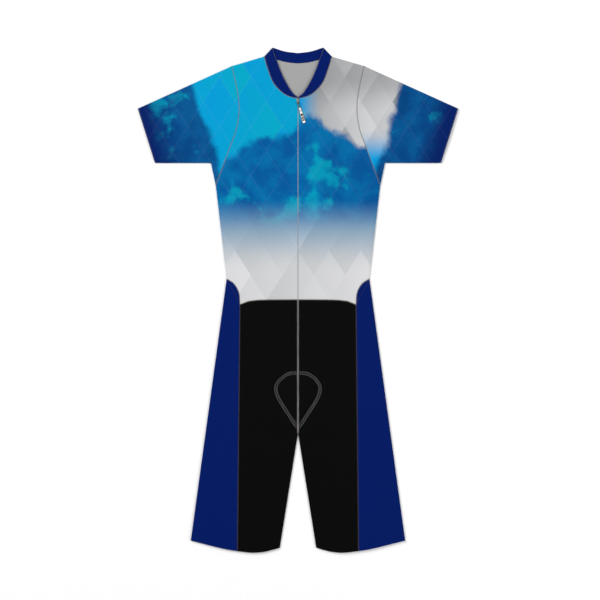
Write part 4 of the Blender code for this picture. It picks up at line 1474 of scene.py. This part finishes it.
@dataclass(frozen=True)
class SeatPad:
    """Seat pad inside the suit: two equal lobes folded at the crotch."""

    lie: Lie
    palette: Palette
    columns: int = 24
    stations: int = 30
    turns: int = 8
    channel_depth: float = 0.35
    channel_place: float = 0.45
    channel_width: float = 2.2

    def width_steps(self, half: float) -> Array:
        """Distances across the pad, closer at its rim."""
        return np.sin(np.linspace(-0.5, 0.5, self.columns + 1) * math.pi) * half

    def lobe(self, station: float, upper: bool) -> list[Array]:
        """Ring of points round one lobe at a station, in millimetres."""
        pad, cut = self.lie.pad, self.lie.cut
        half = float(pad.half_width(np.array(station)))
        across = self.width_steps(half)
        thick = pad.thickness(across, np.full_like(across, station))
        beside = (np.abs(across) - half * self.channel_place) / self.channel_width
        channel = self.channel_depth * np.exp(-(beside ** 2))
        low = cut.wall + cut.seam
        middle = low + thick
        if upper:
            outer, inner = middle + cut.seam + thick - channel, middle + cut.seam
        else:
            outer, inner = np.full_like(across, low), middle
        here = np.full_like(across, station)
        chains = [np.stack([across, here, up], axis=-1) for up in (outer, inner)]
        return np.vstack([chains[0], chains[1][::-1]])

    def bend(self, angle: float) -> Array:
        """Ring of points round the fold at the crotch."""
        pad, cut = self.lie.pad, self.lie.cut
        half = float(pad.half_width(np.array(pad.first)))
        across = self.width_steps(half)
        centre = cut.wall + cut.seam + pad.edge + cut.seam / 2
        chains = []
        for radius in (cut.seam / 2 + pad.edge, cut.seam / 2):
            back = np.full_like(across, pad.first - radius * math.sin(angle))
            up = np.full_like(across, centre + radius * math.cos(angle))
            chains.append(np.stack([across, back, up], axis=-1))
        return np.vstack([chains[0], chains[1][::-1]])

    def build(self) -> Piece:
        """Make the pad."""
        pad, cut = self.lie.pad, self.lie.cut
        stations = np.linspace(pad.last, pad.first, self.stations)
        rings = [self.lobe(station, True) for station in stations]
        rings += [self.bend(math.pi * step / self.turns) for step in range(1, self.turns)]
        rings += [self.lobe(station, False) for station in stations[::-1]]
        shape = skin(rings, cut)
        flat = shape.loops.layers.uv.new("cut")
        for face in shape.faces:
            for corner in face.loops:
                corner[flat].uv = corner.vert.co.xy
        mesh = mesh_of("seat_pad_shell", shape)
        item = plain_mesh(new_object("seat_pad_shell", mesh, self.palette.foam))
        finish_piece(item, GARMENT, "pad_foam", "seat_pad")
        return item


# ---- what repeats along a line
class BeadRow:
    """Geometry Nodes tree that sets small rounded beads along a line: stitches or zip teeth."""

    SIZES = ("Pitch", "Length", "Width", "Height", "Turn", "Swing")

    def __init__(self) -> None:
        """Build the tree."""
        tree = bpy.data.node_groups.new("bead_row", "GeometryNodeTree")
        sockets = [("Geometry", "OUTPUT", "Geometry"), ("Geometry", "INPUT", "Geometry")]
        sockets += [(name, "INPUT", "Float") for name in self.SIZES] + [("Material", "INPUT", "Material")]
        for name, way, kind in sockets:
            tree.interface.new_socket(name, in_out=way, socket_type="NodeSocket" + kind)
        self.tree = tree
        nodes = Nodes(tree)
        given = nodes.node("NodeGroupInput")
        ports = {port.name: Value(nodes, port) for port in given.socket.node.outputs if port.name}
        curve = nodes.node("GeometryNodeMeshToCurve", {0: ports["Geometry"]})
        points = nodes.node("GeometryNodeCurveToPoints", {"Curve": curve, "Length": ports["Pitch"]},
                            mode="LENGTH")
        tangent = Value(nodes, points.socket.node.outputs["Tangent"])
        facing = nodes.node("FunctionNodeAlignRotationToVector", {"Vector": tangent}, axis="X",
                            pivot_axis="Z")
        index = nodes.node("GeometryNodeInputIndex")
        parity = index.math("MODULO", 2.0) * 2.0 - 1.0
        angle = parity * ports["Swing"] + ports["Turn"]
        spin = nodes.node("ShaderNodeCombineXYZ", {2: angle})
        turned = nodes.node("FunctionNodeRotateRotation", {0: facing, 1: spin}, rotation_space="LOCAL")
        size = nodes.node("ShaderNodeCombineXYZ",
                          {0: ports["Length"], 1: ports["Width"], 2: ports["Height"]})
        bead = nodes.node("GeometryNodeMeshUVSphere", {"Segments": 6, "Rings": 4, "Radius": 0.5})
        rounded = nodes.node("GeometryNodeTransform",
                             {"Geometry": bead, "Rotation": (0.0, math.pi / 2, 0.0)})
        smooth = nodes.node("GeometryNodeSetShadeSmooth", {"Geometry": rounded})
        placed = nodes.node("GeometryNodeInstanceOnPoints", {
            "Points": points, "Instance": smooth, "Rotation": turned, "Scale": size})
        real = nodes.node("GeometryNodeRealizeInstances", {0: placed})
        dressed = nodes.node("GeometryNodeSetMaterial",
                             {"Geometry": real, "Material": ports["Material"]})
        nodes.node("NodeGroupOutput", {0: dressed})

    def sockets(self) -> dict[str, str]:
        """Identifier of each named input."""
        items = self.tree.interface.items_tree
        return {item.name: item.identifier for item in items if item.in_out == "INPUT"}

    def lay(self, name: str, routes: list[Array], material: Material, **sizes: float) -> Piece:
        """Set beads along some lines.

        Args:
            name: name of the object.
            routes: lines in metres.
            material: the beads' material.
            sizes: the tree's sizes, in millimetres, and its angles, in radians.
        Returns:
            A plain mesh of all the beads.
        """
        points, edges = [], []
        for route in routes:
            start = len(points)
            points += route.tolist()
            edges += [(start + k, start + k + 1) for k in range(len(route) - 1)]
        mesh = bpy.data.meshes.new(name)
        mesh.from_pydata(points, edges, [])
        item = new_object(name, mesh)
        beads = item.modifiers.new("beads", "NODES")
        beads.node_group = self.tree
        at = self.sockets()
        for key in self.SIZES:
            value = sizes.get(key.lower(), 0.0)
            beads[at[key]] = value if key in ("Turn", "Swing") else value * MM
        beads[at["Material"]] = material
        plain_mesh(item)
        item.data.materials.clear()
        item.data.materials.append(material)
        return item


class ClothFace:
    """Outer face of one layer of the finished cloth, for what is sewn on it."""

    reach: float = 0.4
    away: float = 50.0

    def __init__(self, pieces: list[Piece], layer: Layer) -> None:
        """Gather the pieces' faces."""
        self.up = layer.value
        shape = bmesh.new()
        for piece in pieces:
            shape.from_mesh(piece.data)
        self.tree = BVHTree.FromBMesh(shape)
        shape.free()

    def level(self, x: float, y: float) -> float | None:
        """Height of the cloth near a place, bridging the narrow gap of a seam."""
        levels = []
        for dx, dy in ((0, 0), (1, 0), (-1, 0), (0, 1), (0, -1)):
            start = Vector((x + dx * self.reach * MM, y + dy * self.reach * MM, self.up * self.away * MM))
            hit = self.tree.ray_cast(start, Vector((0.0, 0.0, -self.up)))[0]
            if hit is not None:
                levels.append(hit.z * self.up)
        return max(levels) * self.up if levels else None


@dataclass(frozen=True)
class Sewing:
    """Flatlock seams, hems and the pad's stitching, on the outer face of one layer."""

    lie: Lie
    palette: Palette
    beads: BeadRow
    face: ClothFace
    thread: float = 0.42
    needle_fill: float = 0.94
    looper_share: float = 0.8
    proud: float = 0.08
    step: float = 1.5
    collar_shows: float = 41.0
    hem_inset: float = 1.6
    collar_inset: float = 0.7
    neckline_inset: float = 0.2

    def on_cloth(self, route: Array, side: Side) -> Array:
        """Line on the outer face of the layer, in metres, where there is cloth."""
        length = route_length(route)
        fine = along(route, np.linspace(0.0, 1.0, max(2, round(length / self.step))))
        places = self.lie.cut.place(fine, 0.0, side)
        found = []
        for x, y, _ in places:
            level = self.face.level(x, y)
            if level is not None:
                up = level + self.face.up * self.proud * MM
                found.append((x, y, max(up, self.thread / 2 * MM)))
        return np.array(found)

    def flatlock(self, name: str, routes: list[tuple[Array, Side]],
                 material: Material, gap: float, pitch: float) -> Piece:
        """Two needle rows with a thread that zigzags between them.

        Args:
            name: name of the piece.
            routes: plan line of each seam, with its side.
            material: the thread.
            gap: distance between the needle rows.
            pitch: length of a stitch.
        Returns:
            One finished object.
        """
        needle, looper = [], []
        for route, side in routes:
            for offset in (-gap / 2, gap / 2):
                needle.append(self.on_cloth(offset_route(route, offset), side))
            looper.append(self.on_cloth(route, side))
        rows = self.beads.lay(name + "_needle", needle, material, pitch=pitch,
                              length=pitch * self.needle_fill, width=self.thread, height=self.thread)
        thin = self.thread * self.looper_share
        zigzag = self.beads.lay(name + "_looper", looper, material, pitch=pitch,
                                length=math.hypot(gap, pitch), width=thin, height=thin,
                                swing=math.atan2(gap, pitch))
        item = merged(name, [rows, zigzag])
        return finish_piece(item, GARMENT, "zip_coil")

    def single(self, name: str, routes: list[tuple[Array, Side]], material: Material,
               pitch: float, fill: float, thread: float) -> Piece:
        """One row of separate stitches.

        Args:
            name: name of the piece.
            routes: plan line of each row, with its side.
            material: the thread.
            pitch: distance from one stitch to the next.
            fill: share of it that a stitch covers.
            thread: thickness of the thread.
        Returns:
            One finished object.
        """
        rows = [self.on_cloth(route, side) for route, side in routes]
        item = self.beads.lay(name, rows, material, pitch=pitch, length=pitch * fill,
                              width=thread, height=thread)
        return finish_piece(item, GARMENT, "zip_coil")

    def inset(self, start: Plan, end: Plan, distance: float) -> Array:
        """Straight line beside an edge of the outline, on its left."""
        return offset_route(line(start, end, np.linspace(0.0, 1.0, 20)), distance)

    def hem_rows(self) -> list[tuple[Array, Side]]:
        """Rows inside the edges of the sleeve and leg openings."""
        cut, rows = self.lie.cut, []
        for side in Side:
            rows.append((self.inset(cut.cuff_top, cut.cuff_bottom, -self.hem_inset), side))
            rows.append((offset_route(cut.hem, self.hem_inset), side))
        return rows

    def underside(self) -> list[Piece]:
        """Sew the seams and hems of the lower layer."""
        cut, palette = self.lie.cut, self.palette
        body, legs = [], []
        for side in Side:
            body += [(cut.armhole, side), (cut.back_neckline, side), (cut.waist, side)]
            legs += [(self.inset(cut.hip_point, cut.waist_corner, 0.0), side), (cut.side_seam, side)]
        legs.append((cut.centre_seam, Side.LEFT))
        return [
            self.flatlock("under_body_seams", body, palette.warm_thread, gap=1.7, pitch=3.0),
            self.flatlock("under_leg_seams", legs, palette.dark_thread, gap=1.7, pitch=3.0),
            self.single("under_hem_stitching", self.hem_rows(), palette.warm_thread,
                        pitch=2.4, fill=0.8, thread=0.4),
        ]

    def build(self) -> list[Piece]:
        """Sew every seam that shows."""
        cut, palette, pad = self.lie.cut, self.palette, self.lie.pad
        body, legs, hips, collar, quilting = [], [], [], [], []
        for side in Side:
            body += [(cut.armhole, side), (cut.neckline, side), (cut.hip, side), (cut.waist, side)]
            legs.append((cut.side_seam, side))
            hips.append((self.inset(cut.hip_point, cut.waist_corner, 0.0), side))
            collar.append((offset_route(cut.collar_edge, self.collar_inset), side))
            seen = cut.back_neckline[cut.back_neckline[:, 0] < self.collar_shows]
            collar.append((offset_route(seen, self.neckline_inset), side))
            quilting += [(pad.stitch_row(0.0), side), (pad.stitch_row(pad.row_gap), side)]
        centre = [(cut.centre_seam, Side.LEFT)]
        return [
            self.flatlock("body_seams", body, palette.warm_thread, gap=1.7, pitch=2.4),
            self.flatlock("leg_seams", legs, palette.dark_thread, gap=1.7, pitch=2.4),
            self.flatlock("centre_seam", centre, palette.pale_thread, gap=2.9, pitch=1.3),
            self.single("hip_stitching", hips, palette.navy_thread, pitch=2.4, fill=0.9, thread=0.5),
            self.single("hem_stitching", self.hem_rows(), palette.warm_thread,
                        pitch=2.4, fill=0.8, thread=0.4),
            self.single("collar_stitching", collar, palette.warm_thread,
                        pitch=1.6, fill=0.9, thread=0.45),
            self.single("pad_stitching", quilting, palette.light_thread,
                        pitch=4.7, fill=0.5, thread=0.75),
        ]


# ---- zip, slider and tab
@dataclass(frozen=True)
class ZipFastener:
    """Closed zip: its tape under the fronts and its coil between them, in millimetres."""

    lie: Lie
    palette: Palette
    beads: BeadRow
    bead_half: float = 0.7
    tape_half: float = 8.0
    tape_thickness: float = 0.9
    tooth_pitch: float = 1.15
    tooth_length: float = 1.0
    tooth_offset: float = 0.22
    tooth_width: float = 0.72
    tooth_height: float = 0.7
    tooth_level: float = -0.42
    bead_shoulder: float = -0.75
    bead_top: float = -0.5
    steps: int = 110

    def stations(self) -> Array:
        """Stations of the zip, between the ends of its CAD node."""
        low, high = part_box("zip")
        half = self.lie.cut.length / 2
        return np.linspace(low[1] / MM + half, high[1] / MM + half, self.steps)

    def levels(self, stations: Array) -> Array:
        """Height of the cloth beside the zip."""
        beside = np.full_like(stations, self.lie.cut.zip_parting / 2)
        return self.lie.smooth(np.stack([beside, stations], axis=-1))

    def tape(self) -> Piece:
        """Both tapes, with the bead that carries the coil."""
        cut = self.lie.cut
        top = -cut.wall - cut.seam
        low = top - self.tape_thickness
        bead = self.bead_half
        profile = (
            (-self.tape_half, low), (self.tape_half, low), (self.tape_half, top), (bead, top),
            (bead, self.bead_shoulder), (bead / 2, self.bead_top), (-bead / 2, self.bead_top),
            (-bead, self.bead_shoulder), (-bead, top), (-self.tape_half, top))
        stations = self.stations()
        rings = [np.array([(x, station, level + up) for x, up in profile])
                 for station, level in zip(stations, self.levels(stations))]
        mesh = mesh_of("zip_tape", skin(rings, cut))
        item = plain_mesh(new_object("zip_tape", mesh, self.palette.tape))
        return finish_piece(item, GARMENT, "zip_coil", "zip")

    def coil(self) -> Piece:
        """Meshed teeth of the coil, one row from each side."""
        stations = self.stations()
        rows = []
        for sign in (-1, 1):
            start = self.tooth_pitch / 2 * (1 + sign)
            here = np.linspace(stations[0] + start, stations[-1], len(stations))
            points = np.stack([np.full_like(here, self.tooth_offset * sign), here], axis=-1)
            rows.append(self.lie.cut.place(points, self.levels(here) + self.tooth_level, Side.LEFT))
        item = self.beads.lay("zip_teeth", rows, self.palette.coil, pitch=self.tooth_pitch,
                              length=self.tooth_length, width=self.tooth_width,
                              height=self.tooth_height, turn=math.pi / 2)
        return finish_piece(item, GARMENT, "zip_coil")

    def build(self) -> list[Piece]:
        """Make the tape and the coil."""
        return [self.tape(), self.coil()]


def slab(name: str, outline: list[Plan], low: float, high: float, bevel: float,
         material: Material) -> Piece:
    """Rounded plate over an outline in X and Y, in millimetres.

    Args:
        name: name of the object.
        outline: its corners in plan.
        low: level of its lower face.
        high: level of its upper face.
        bevel: radius of its edges.
        material: its finish.
    Returns:
        The object, in metres, with a live bevel.
    """
    shape = bmesh.new()
    face = shape.faces.new([shape.verts.new((x * MM, y * MM, low * MM)) for x, y in outline])
    made = bmesh.ops.extrude_face_region(shape, geom=[face])
    top = [part for part in made["geom"] if isinstance(part, bmesh.types.BMVert)]
    bmesh.ops.translate(shape, verts=top, vec=(0.0, 0.0, (high - low) * MM))
    bmesh.ops.recalc_face_normals(shape, faces=shape.faces)
    item = new_object(name, mesh_of(name, shape), material)
    soften(item, bevel, segments=3, angle=40.0)
    return item


def rounded_box(half_wide: float, low: float, high: float, radius: float, steps: int = 4) -> list[Plan]:
    """Outline of a rectangle about the centre line, with rounded corners.

    Args:
        half_wide: half its width.
        low: its lower end.
        high: its upper end.
        radius: radius of its corners.
        steps: facets of each corner.
    Returns:
        Its points, going round.
    """
    points = []
    corners = ((half_wide, high, 0), (-half_wide, high, 1), (-half_wide, low, 2), (half_wide, low, 3))
    for x, y, quarter in corners:
        centre_x = x - math.copysign(radius, x)
        centre_y = y - radius if quarter < 2 else y + radius
        for step in range(steps + 1):
            angle = math.pi / 2 * (quarter + step / steps)
            points.append((centre_x + radius * math.cos(angle), centre_y + radius * math.sin(angle)))
    return points


def wire(name: str, points: list[Vector], radius: float, closed: bool, material: Material) -> Piece:
    """Round wire along some points, in metres, as a curve that merged() makes a mesh of.

    Args:
        name: name of the object.
        points: places that it runs through.
        radius: of the wire.
        closed: whether its end joins its start.
        material: its finish.
    Returns:
        The object.
    """
    curve = bpy.data.curves.new(name, "CURVE")
    curve.dimensions = "3D"
    curve.bevel_depth = radius
    curve.bevel_resolution = 3
    curve.use_fill_caps = True
    run = curve.splines.new("POLY")
    run.points.add(len(points) - 1)
    for point, place in zip(run.points, points):
        point.co = (*place, 1.0)
    run.use_cyclic_u = closed
    return new_object(name, curve, material)


@dataclass(frozen=True)
class Slider:
    """Slider of the zip, with the bail that holds its tab, in millimetres.

    Each point of its flank is given by its distance inwards, the share of the slider's length
    that it is up, and what is added to that.
    """

    palette: Palette
    plate: float = 1.0
    plate_bevel: float = 0.35
    lower_plate: float = 0.8
    lower_bevel: float = 0.25
    flank: tuple[tuple[float, float, float], ...] = (
        (0.9, 0.0, 0.0), (0.5, 0.0, 0.5), (0.35, 0.5, 0.0), (0.0, 1.0, -2.6), (0.2, 1.0, -0.7),
        (0.9, 1.0, 0.0))
    bail_half: float = 2.3
    bail_bar: float = 0.8
    bail_width: float = 1.6
    bail_height: float = 2.4
    bail_steps: int = 12
    bail_square: float = 1.35
    bail_foot: float = 0.4
    post_half: float = 0.95
    post_length: float = 1.8
    post_corner: float = 0.4
    post_bevel: float = 0.05
    overlap: float = 0.2

    def build(self) -> Piece:
        """Make the slider where its CAD node is."""
        low, high = (corner / MM for corner in map(np.array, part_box("zip_slider")))
        pivot = np.array(pull_joint()["pos_m"]) / MM
        half = (high[0] - low[0]) / 2
        upper = high[2] - self.bail_height - self.plate
        metal = self.palette.metal
        body = [(half - inwards, low[1] + share * (high[1] - low[1]) + more)
                for inwards, share, more in self.flank]
        outline = body + [(-x, y) for x, y in reversed(body)]
        parts = [
            slab("slider_top", outline, upper, upper + self.plate, self.plate_bevel, metal),
            slab("slider_bottom", outline, low[2], low[2] + self.lower_plate, self.lower_bevel, metal),
        ]
        post = rounded_box(self.post_half, high[1] - self.post_length, high[1] - self.overlap,
                           self.post_corner)
        parts.append(slab("slider_post", post, low[2] + self.overlap, upper + self.overlap,
                          self.post_bevel, metal))
        arch = []
        for step in range(self.bail_steps + 1):
            angle = math.pi * step / self.bail_steps
            along_zip = -math.cos(angle) * (self.bail_half - self.bail_bar / 2)
            rise = min(1.0, self.bail_square * math.sin(angle))
            lift = rise * (self.bail_height - self.bail_bar / 2)
            arch.append(Vector((0.0, pivot[1] + along_zip, upper + self.plate + lift)) * MM)
        arch[0].z = arch[-1].z = (upper + self.bail_foot) * MM
        for sign in (-1, 1):
            strand = [point + Vector((sign * (self.bail_width - self.bail_bar) / 2 * MM, 0.0, 0.0))
                      for point in arch]
            parts.append(wire("slider_bail", strand, self.bail_bar / 2 * MM, False, metal))
        bpy.context.view_layer.update()
        item = merged("zip_slider_body", parts)
        return finish_piece(item, GARMENT, "slider_metal", "zip_slider")


def pull_joint() -> dict:
    """The record's joint of the pull tab."""
    joints = frame["record"]["behaviour"]["joints"]
    return next(joint for joint in joints if joint["child"] == TAB_BODY)


@dataclass(frozen=True)
class PullTab:
    """Pull tab: a moulded tongue on a wire loop, in millimetres."""

    palette: Palette
    length: float = 45.5
    end_half: float = 3.3
    neck_half: float = 2.5
    thickness: float = 1.4
    loop_half: float = 2.1
    loop_wire: float = 0.45
    body_start: float = -11.5
    end_radius: float = 1.4
    end_steps: int = 6
    edge_drop: float = 0.15
    edge_bevel: float = 0.3
    face_inset: float = 0.5
    face_bevel: float = 0.12
    under_proud: float = 0.02
    grip_margin: float = 1.3
    grip_corner: float = 0.8
    grip_proud: float = 0.12
    grip_bevel: float = 0.15
    band_corner: float = 0.5
    band_proud: float = 0.08
    band_bevel: float = 0.1
    loop_reach: float = 2.0
    loop_corner: float = 0.9
    shoulder: Plan = (0.6, 0.7)
    swell: Plan = (0.1, 6.0)
    full_width_at: float = 12.0
    grips: tuple[tuple[float, float], ...] = ((-27.4, 4.8), (-34.1, 3.4), (-38.9, 2.8))
    bands: tuple[tuple[float, float, float], ...] = (
        (-14.0, 2.8, 1.9), (-22.8, 2.6, 2.45), (-43.0, 3.6, 2.75))

    def seat(self) -> Matrix:
        """Where the tab lies: its own axes about the joint, as a matrix."""
        joint = pull_joint()
        pivot = Vector(joint["pos_m"])
        across = -Vector(joint["axis"]).normalized()
        low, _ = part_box("pull_tab")
        drop = pivot.z - (low[2] + self.thickness / 2 * MM)
        dip = math.asin(drop / (self.length * MM))
        turn = Matrix.Rotation(math.atan2(across.y, across.x), 4, "Z")
        return Matrix.Translation(pivot) @ turn @ Matrix.Rotation(dip, 4, "X")

    def tongue(self, inset: float) -> list[Plan]:
        """Outline of the moulded tongue, drawn in by an inset."""
        radius = self.end_radius
        end = -self.length + inset + radius
        wide, neck = self.end_half - inset, self.neck_half - inset
        start, (corner, fall), (wider, lower) = self.body_start, self.shoulder, self.swell
        right = [(neck - corner, start - inset), (neck, start - inset - fall),
                 (neck + wider, start - lower), (wide, start - self.full_width_at), (wide, end)]
        for step in range(1, self.end_steps + 1):
            angle = math.pi / 2 * step / self.end_steps
            right.append((wide - radius * (1.0 - math.cos(angle)), end - radius * math.sin(angle)))
        left = [(-x, y) for x, y in reversed(right)]
        return right + left

    def build(self) -> Piece:
        """Make the tab on its own body."""
        palette, half = self.palette, self.thickness / 2
        drop, under = self.edge_drop, -half - self.under_proud
        parts = [
            slab("tab_tongue", self.tongue(0.0), -half + drop, half - drop, self.edge_bevel, palette.edge),
            slab("tab_face", self.tongue(self.face_inset), -half, half, self.face_bevel, palette.rubber),
        ]
        for middle, long in self.grips:
            outline = rounded_box(self.end_half - self.grip_margin, middle - long / 2,
                                  middle + long / 2, self.grip_corner)
            parts.append(slab("tab_grip", outline, under, half + self.grip_proud, self.grip_bevel,
                              palette.grip))
        for middle, long, wide in self.bands:
            outline = rounded_box(wide, middle - long / 2, middle + long / 2, self.band_corner)
            parts.append(slab("tab_band", outline, under, half + self.band_proud, self.band_bevel,
                              palette.band))
        loop = rounded_box(self.loop_half, self.body_start - self.loop_reach, 0.0, self.loop_corner)
        points = [Vector((x, y, 0.0)) * MM for x, y in loop]
        parts.append(wire("tab_loop", points, self.loop_wire * MM, True, palette.dark_metal))
        seat = self.seat()
        for part in parts:
            part.matrix_world = seat
        bpy.context.view_layer.update()
        item = merged("pull_tab_tongue", parts)
        return finish_piece(item, TAB_BODY, "tab_rubber", "pull_tab")


# ---- studio
@dataclass(frozen=True)
class Studio:
    """Pale floor, soft lights and the camera straight above the suit."""

    frame_width: float = 1.26
    lens: float = 100.0
    sensor: float = 36.0
    aim: Plan = (0.0042, 0.0)
    floor_size: float = 14.0
    floor_drop: float = 0.3
    sky_level: float = 0.45
    view_end: float = 50.0

    def floor(self) -> Piece:
        """Pale floor under the suit."""
        mesh = bpy.data.meshes.new(FLOOR)
        half, down = self.floor_size / 2, -self.floor_drop * MM
        corners = [(-half, -half, down), (half, -half, down), (half, half, down), (-half, half, down)]
        mesh.from_pydata(corners, [], [(0, 1, 2, 3)])
        paper = Finish("pale_paper", (247, 247, 247), roughness=0.9, specular=0.0, bump=0.05)
        item = new_object(FLOOR, mesh, paper.material())
        return item

    def lamp(self, name: str, place: tuple[float, float, float], size: float, power: float) -> None:
        """Square soft light that faces the suit."""
        data = bpy.data.lights.new(name, "AREA")
        data.size = size
        data.energy = power
        lamp = new_object(name, data)
        lamp.location = place
        lamp.rotation_euler = (-Vector(place)).to_track_quat("-Z", "Y").to_euler()

    def sky(self) -> None:
        """Even light from all round."""
        world = bpy.data.worlds.new("studio_sky")
        world.use_nodes = True
        light = world.node_tree.nodes["Background"]
        light.inputs["Color"].default_value = shade(1.0)
        light.inputs["Strength"].default_value = self.sky_level
        bpy.context.scene.world = world

    def camera(self) -> None:
        """Camera at the photograph's angle, straight from above."""
        data = bpy.data.cameras.new("studio_camera")
        data.lens = self.lens
        data.sensor_width = self.sensor
        data.clip_end = self.view_end
        item = new_object("studio_camera", data)
        item.location = (*self.aim, self.frame_width * self.lens / self.sensor)
        bpy.context.scene.camera = item

    def build(self) -> None:
        """Set up the studio."""
        scene = bpy.context.scene
        scene.view_settings.view_transform = "Standard"
        scene.view_settings.look = "None"
        self.floor()
        self.lamp("key_light", place=(-2.2, 1.6, 2.6), size=2.2, power=120.0)
        self.lamp("fill_light", place=(2.6, -0.6, 2.4), size=2.6, power=70.0)
        self.sky()
        self.camera()


# ---- the suit
def main() -> None:
    """Build the studio and every piece of the suit."""
    logging.basicConfig(level=logging.INFO, format="%(name)s: %(message)s")
    Studio().build()
    lie, palette, beads = Lie(), Palette(), BeadRow()
    made = []
    for pattern in (Torso, Sleeves, Collar, Legs):
        made += pattern(lie, palette).build()
    upper, lower = ClothFace(made, Layer.UPPER), ClothFace(made, Layer.LOWER)
    made += Sewing(lie, palette, beads, upper).build()
    made += Sewing(lie, palette, beads, lower).underside()
    made.append(SeatPad(lie, palette).build())
    made += ZipFastener(lie, palette, beads).build()
    made.append(Slider(palette).build())
    made.append(PullTab(palette).build())
    LOG.info("%d pieces", len(made))


if __name__ == "__main__":
    main()
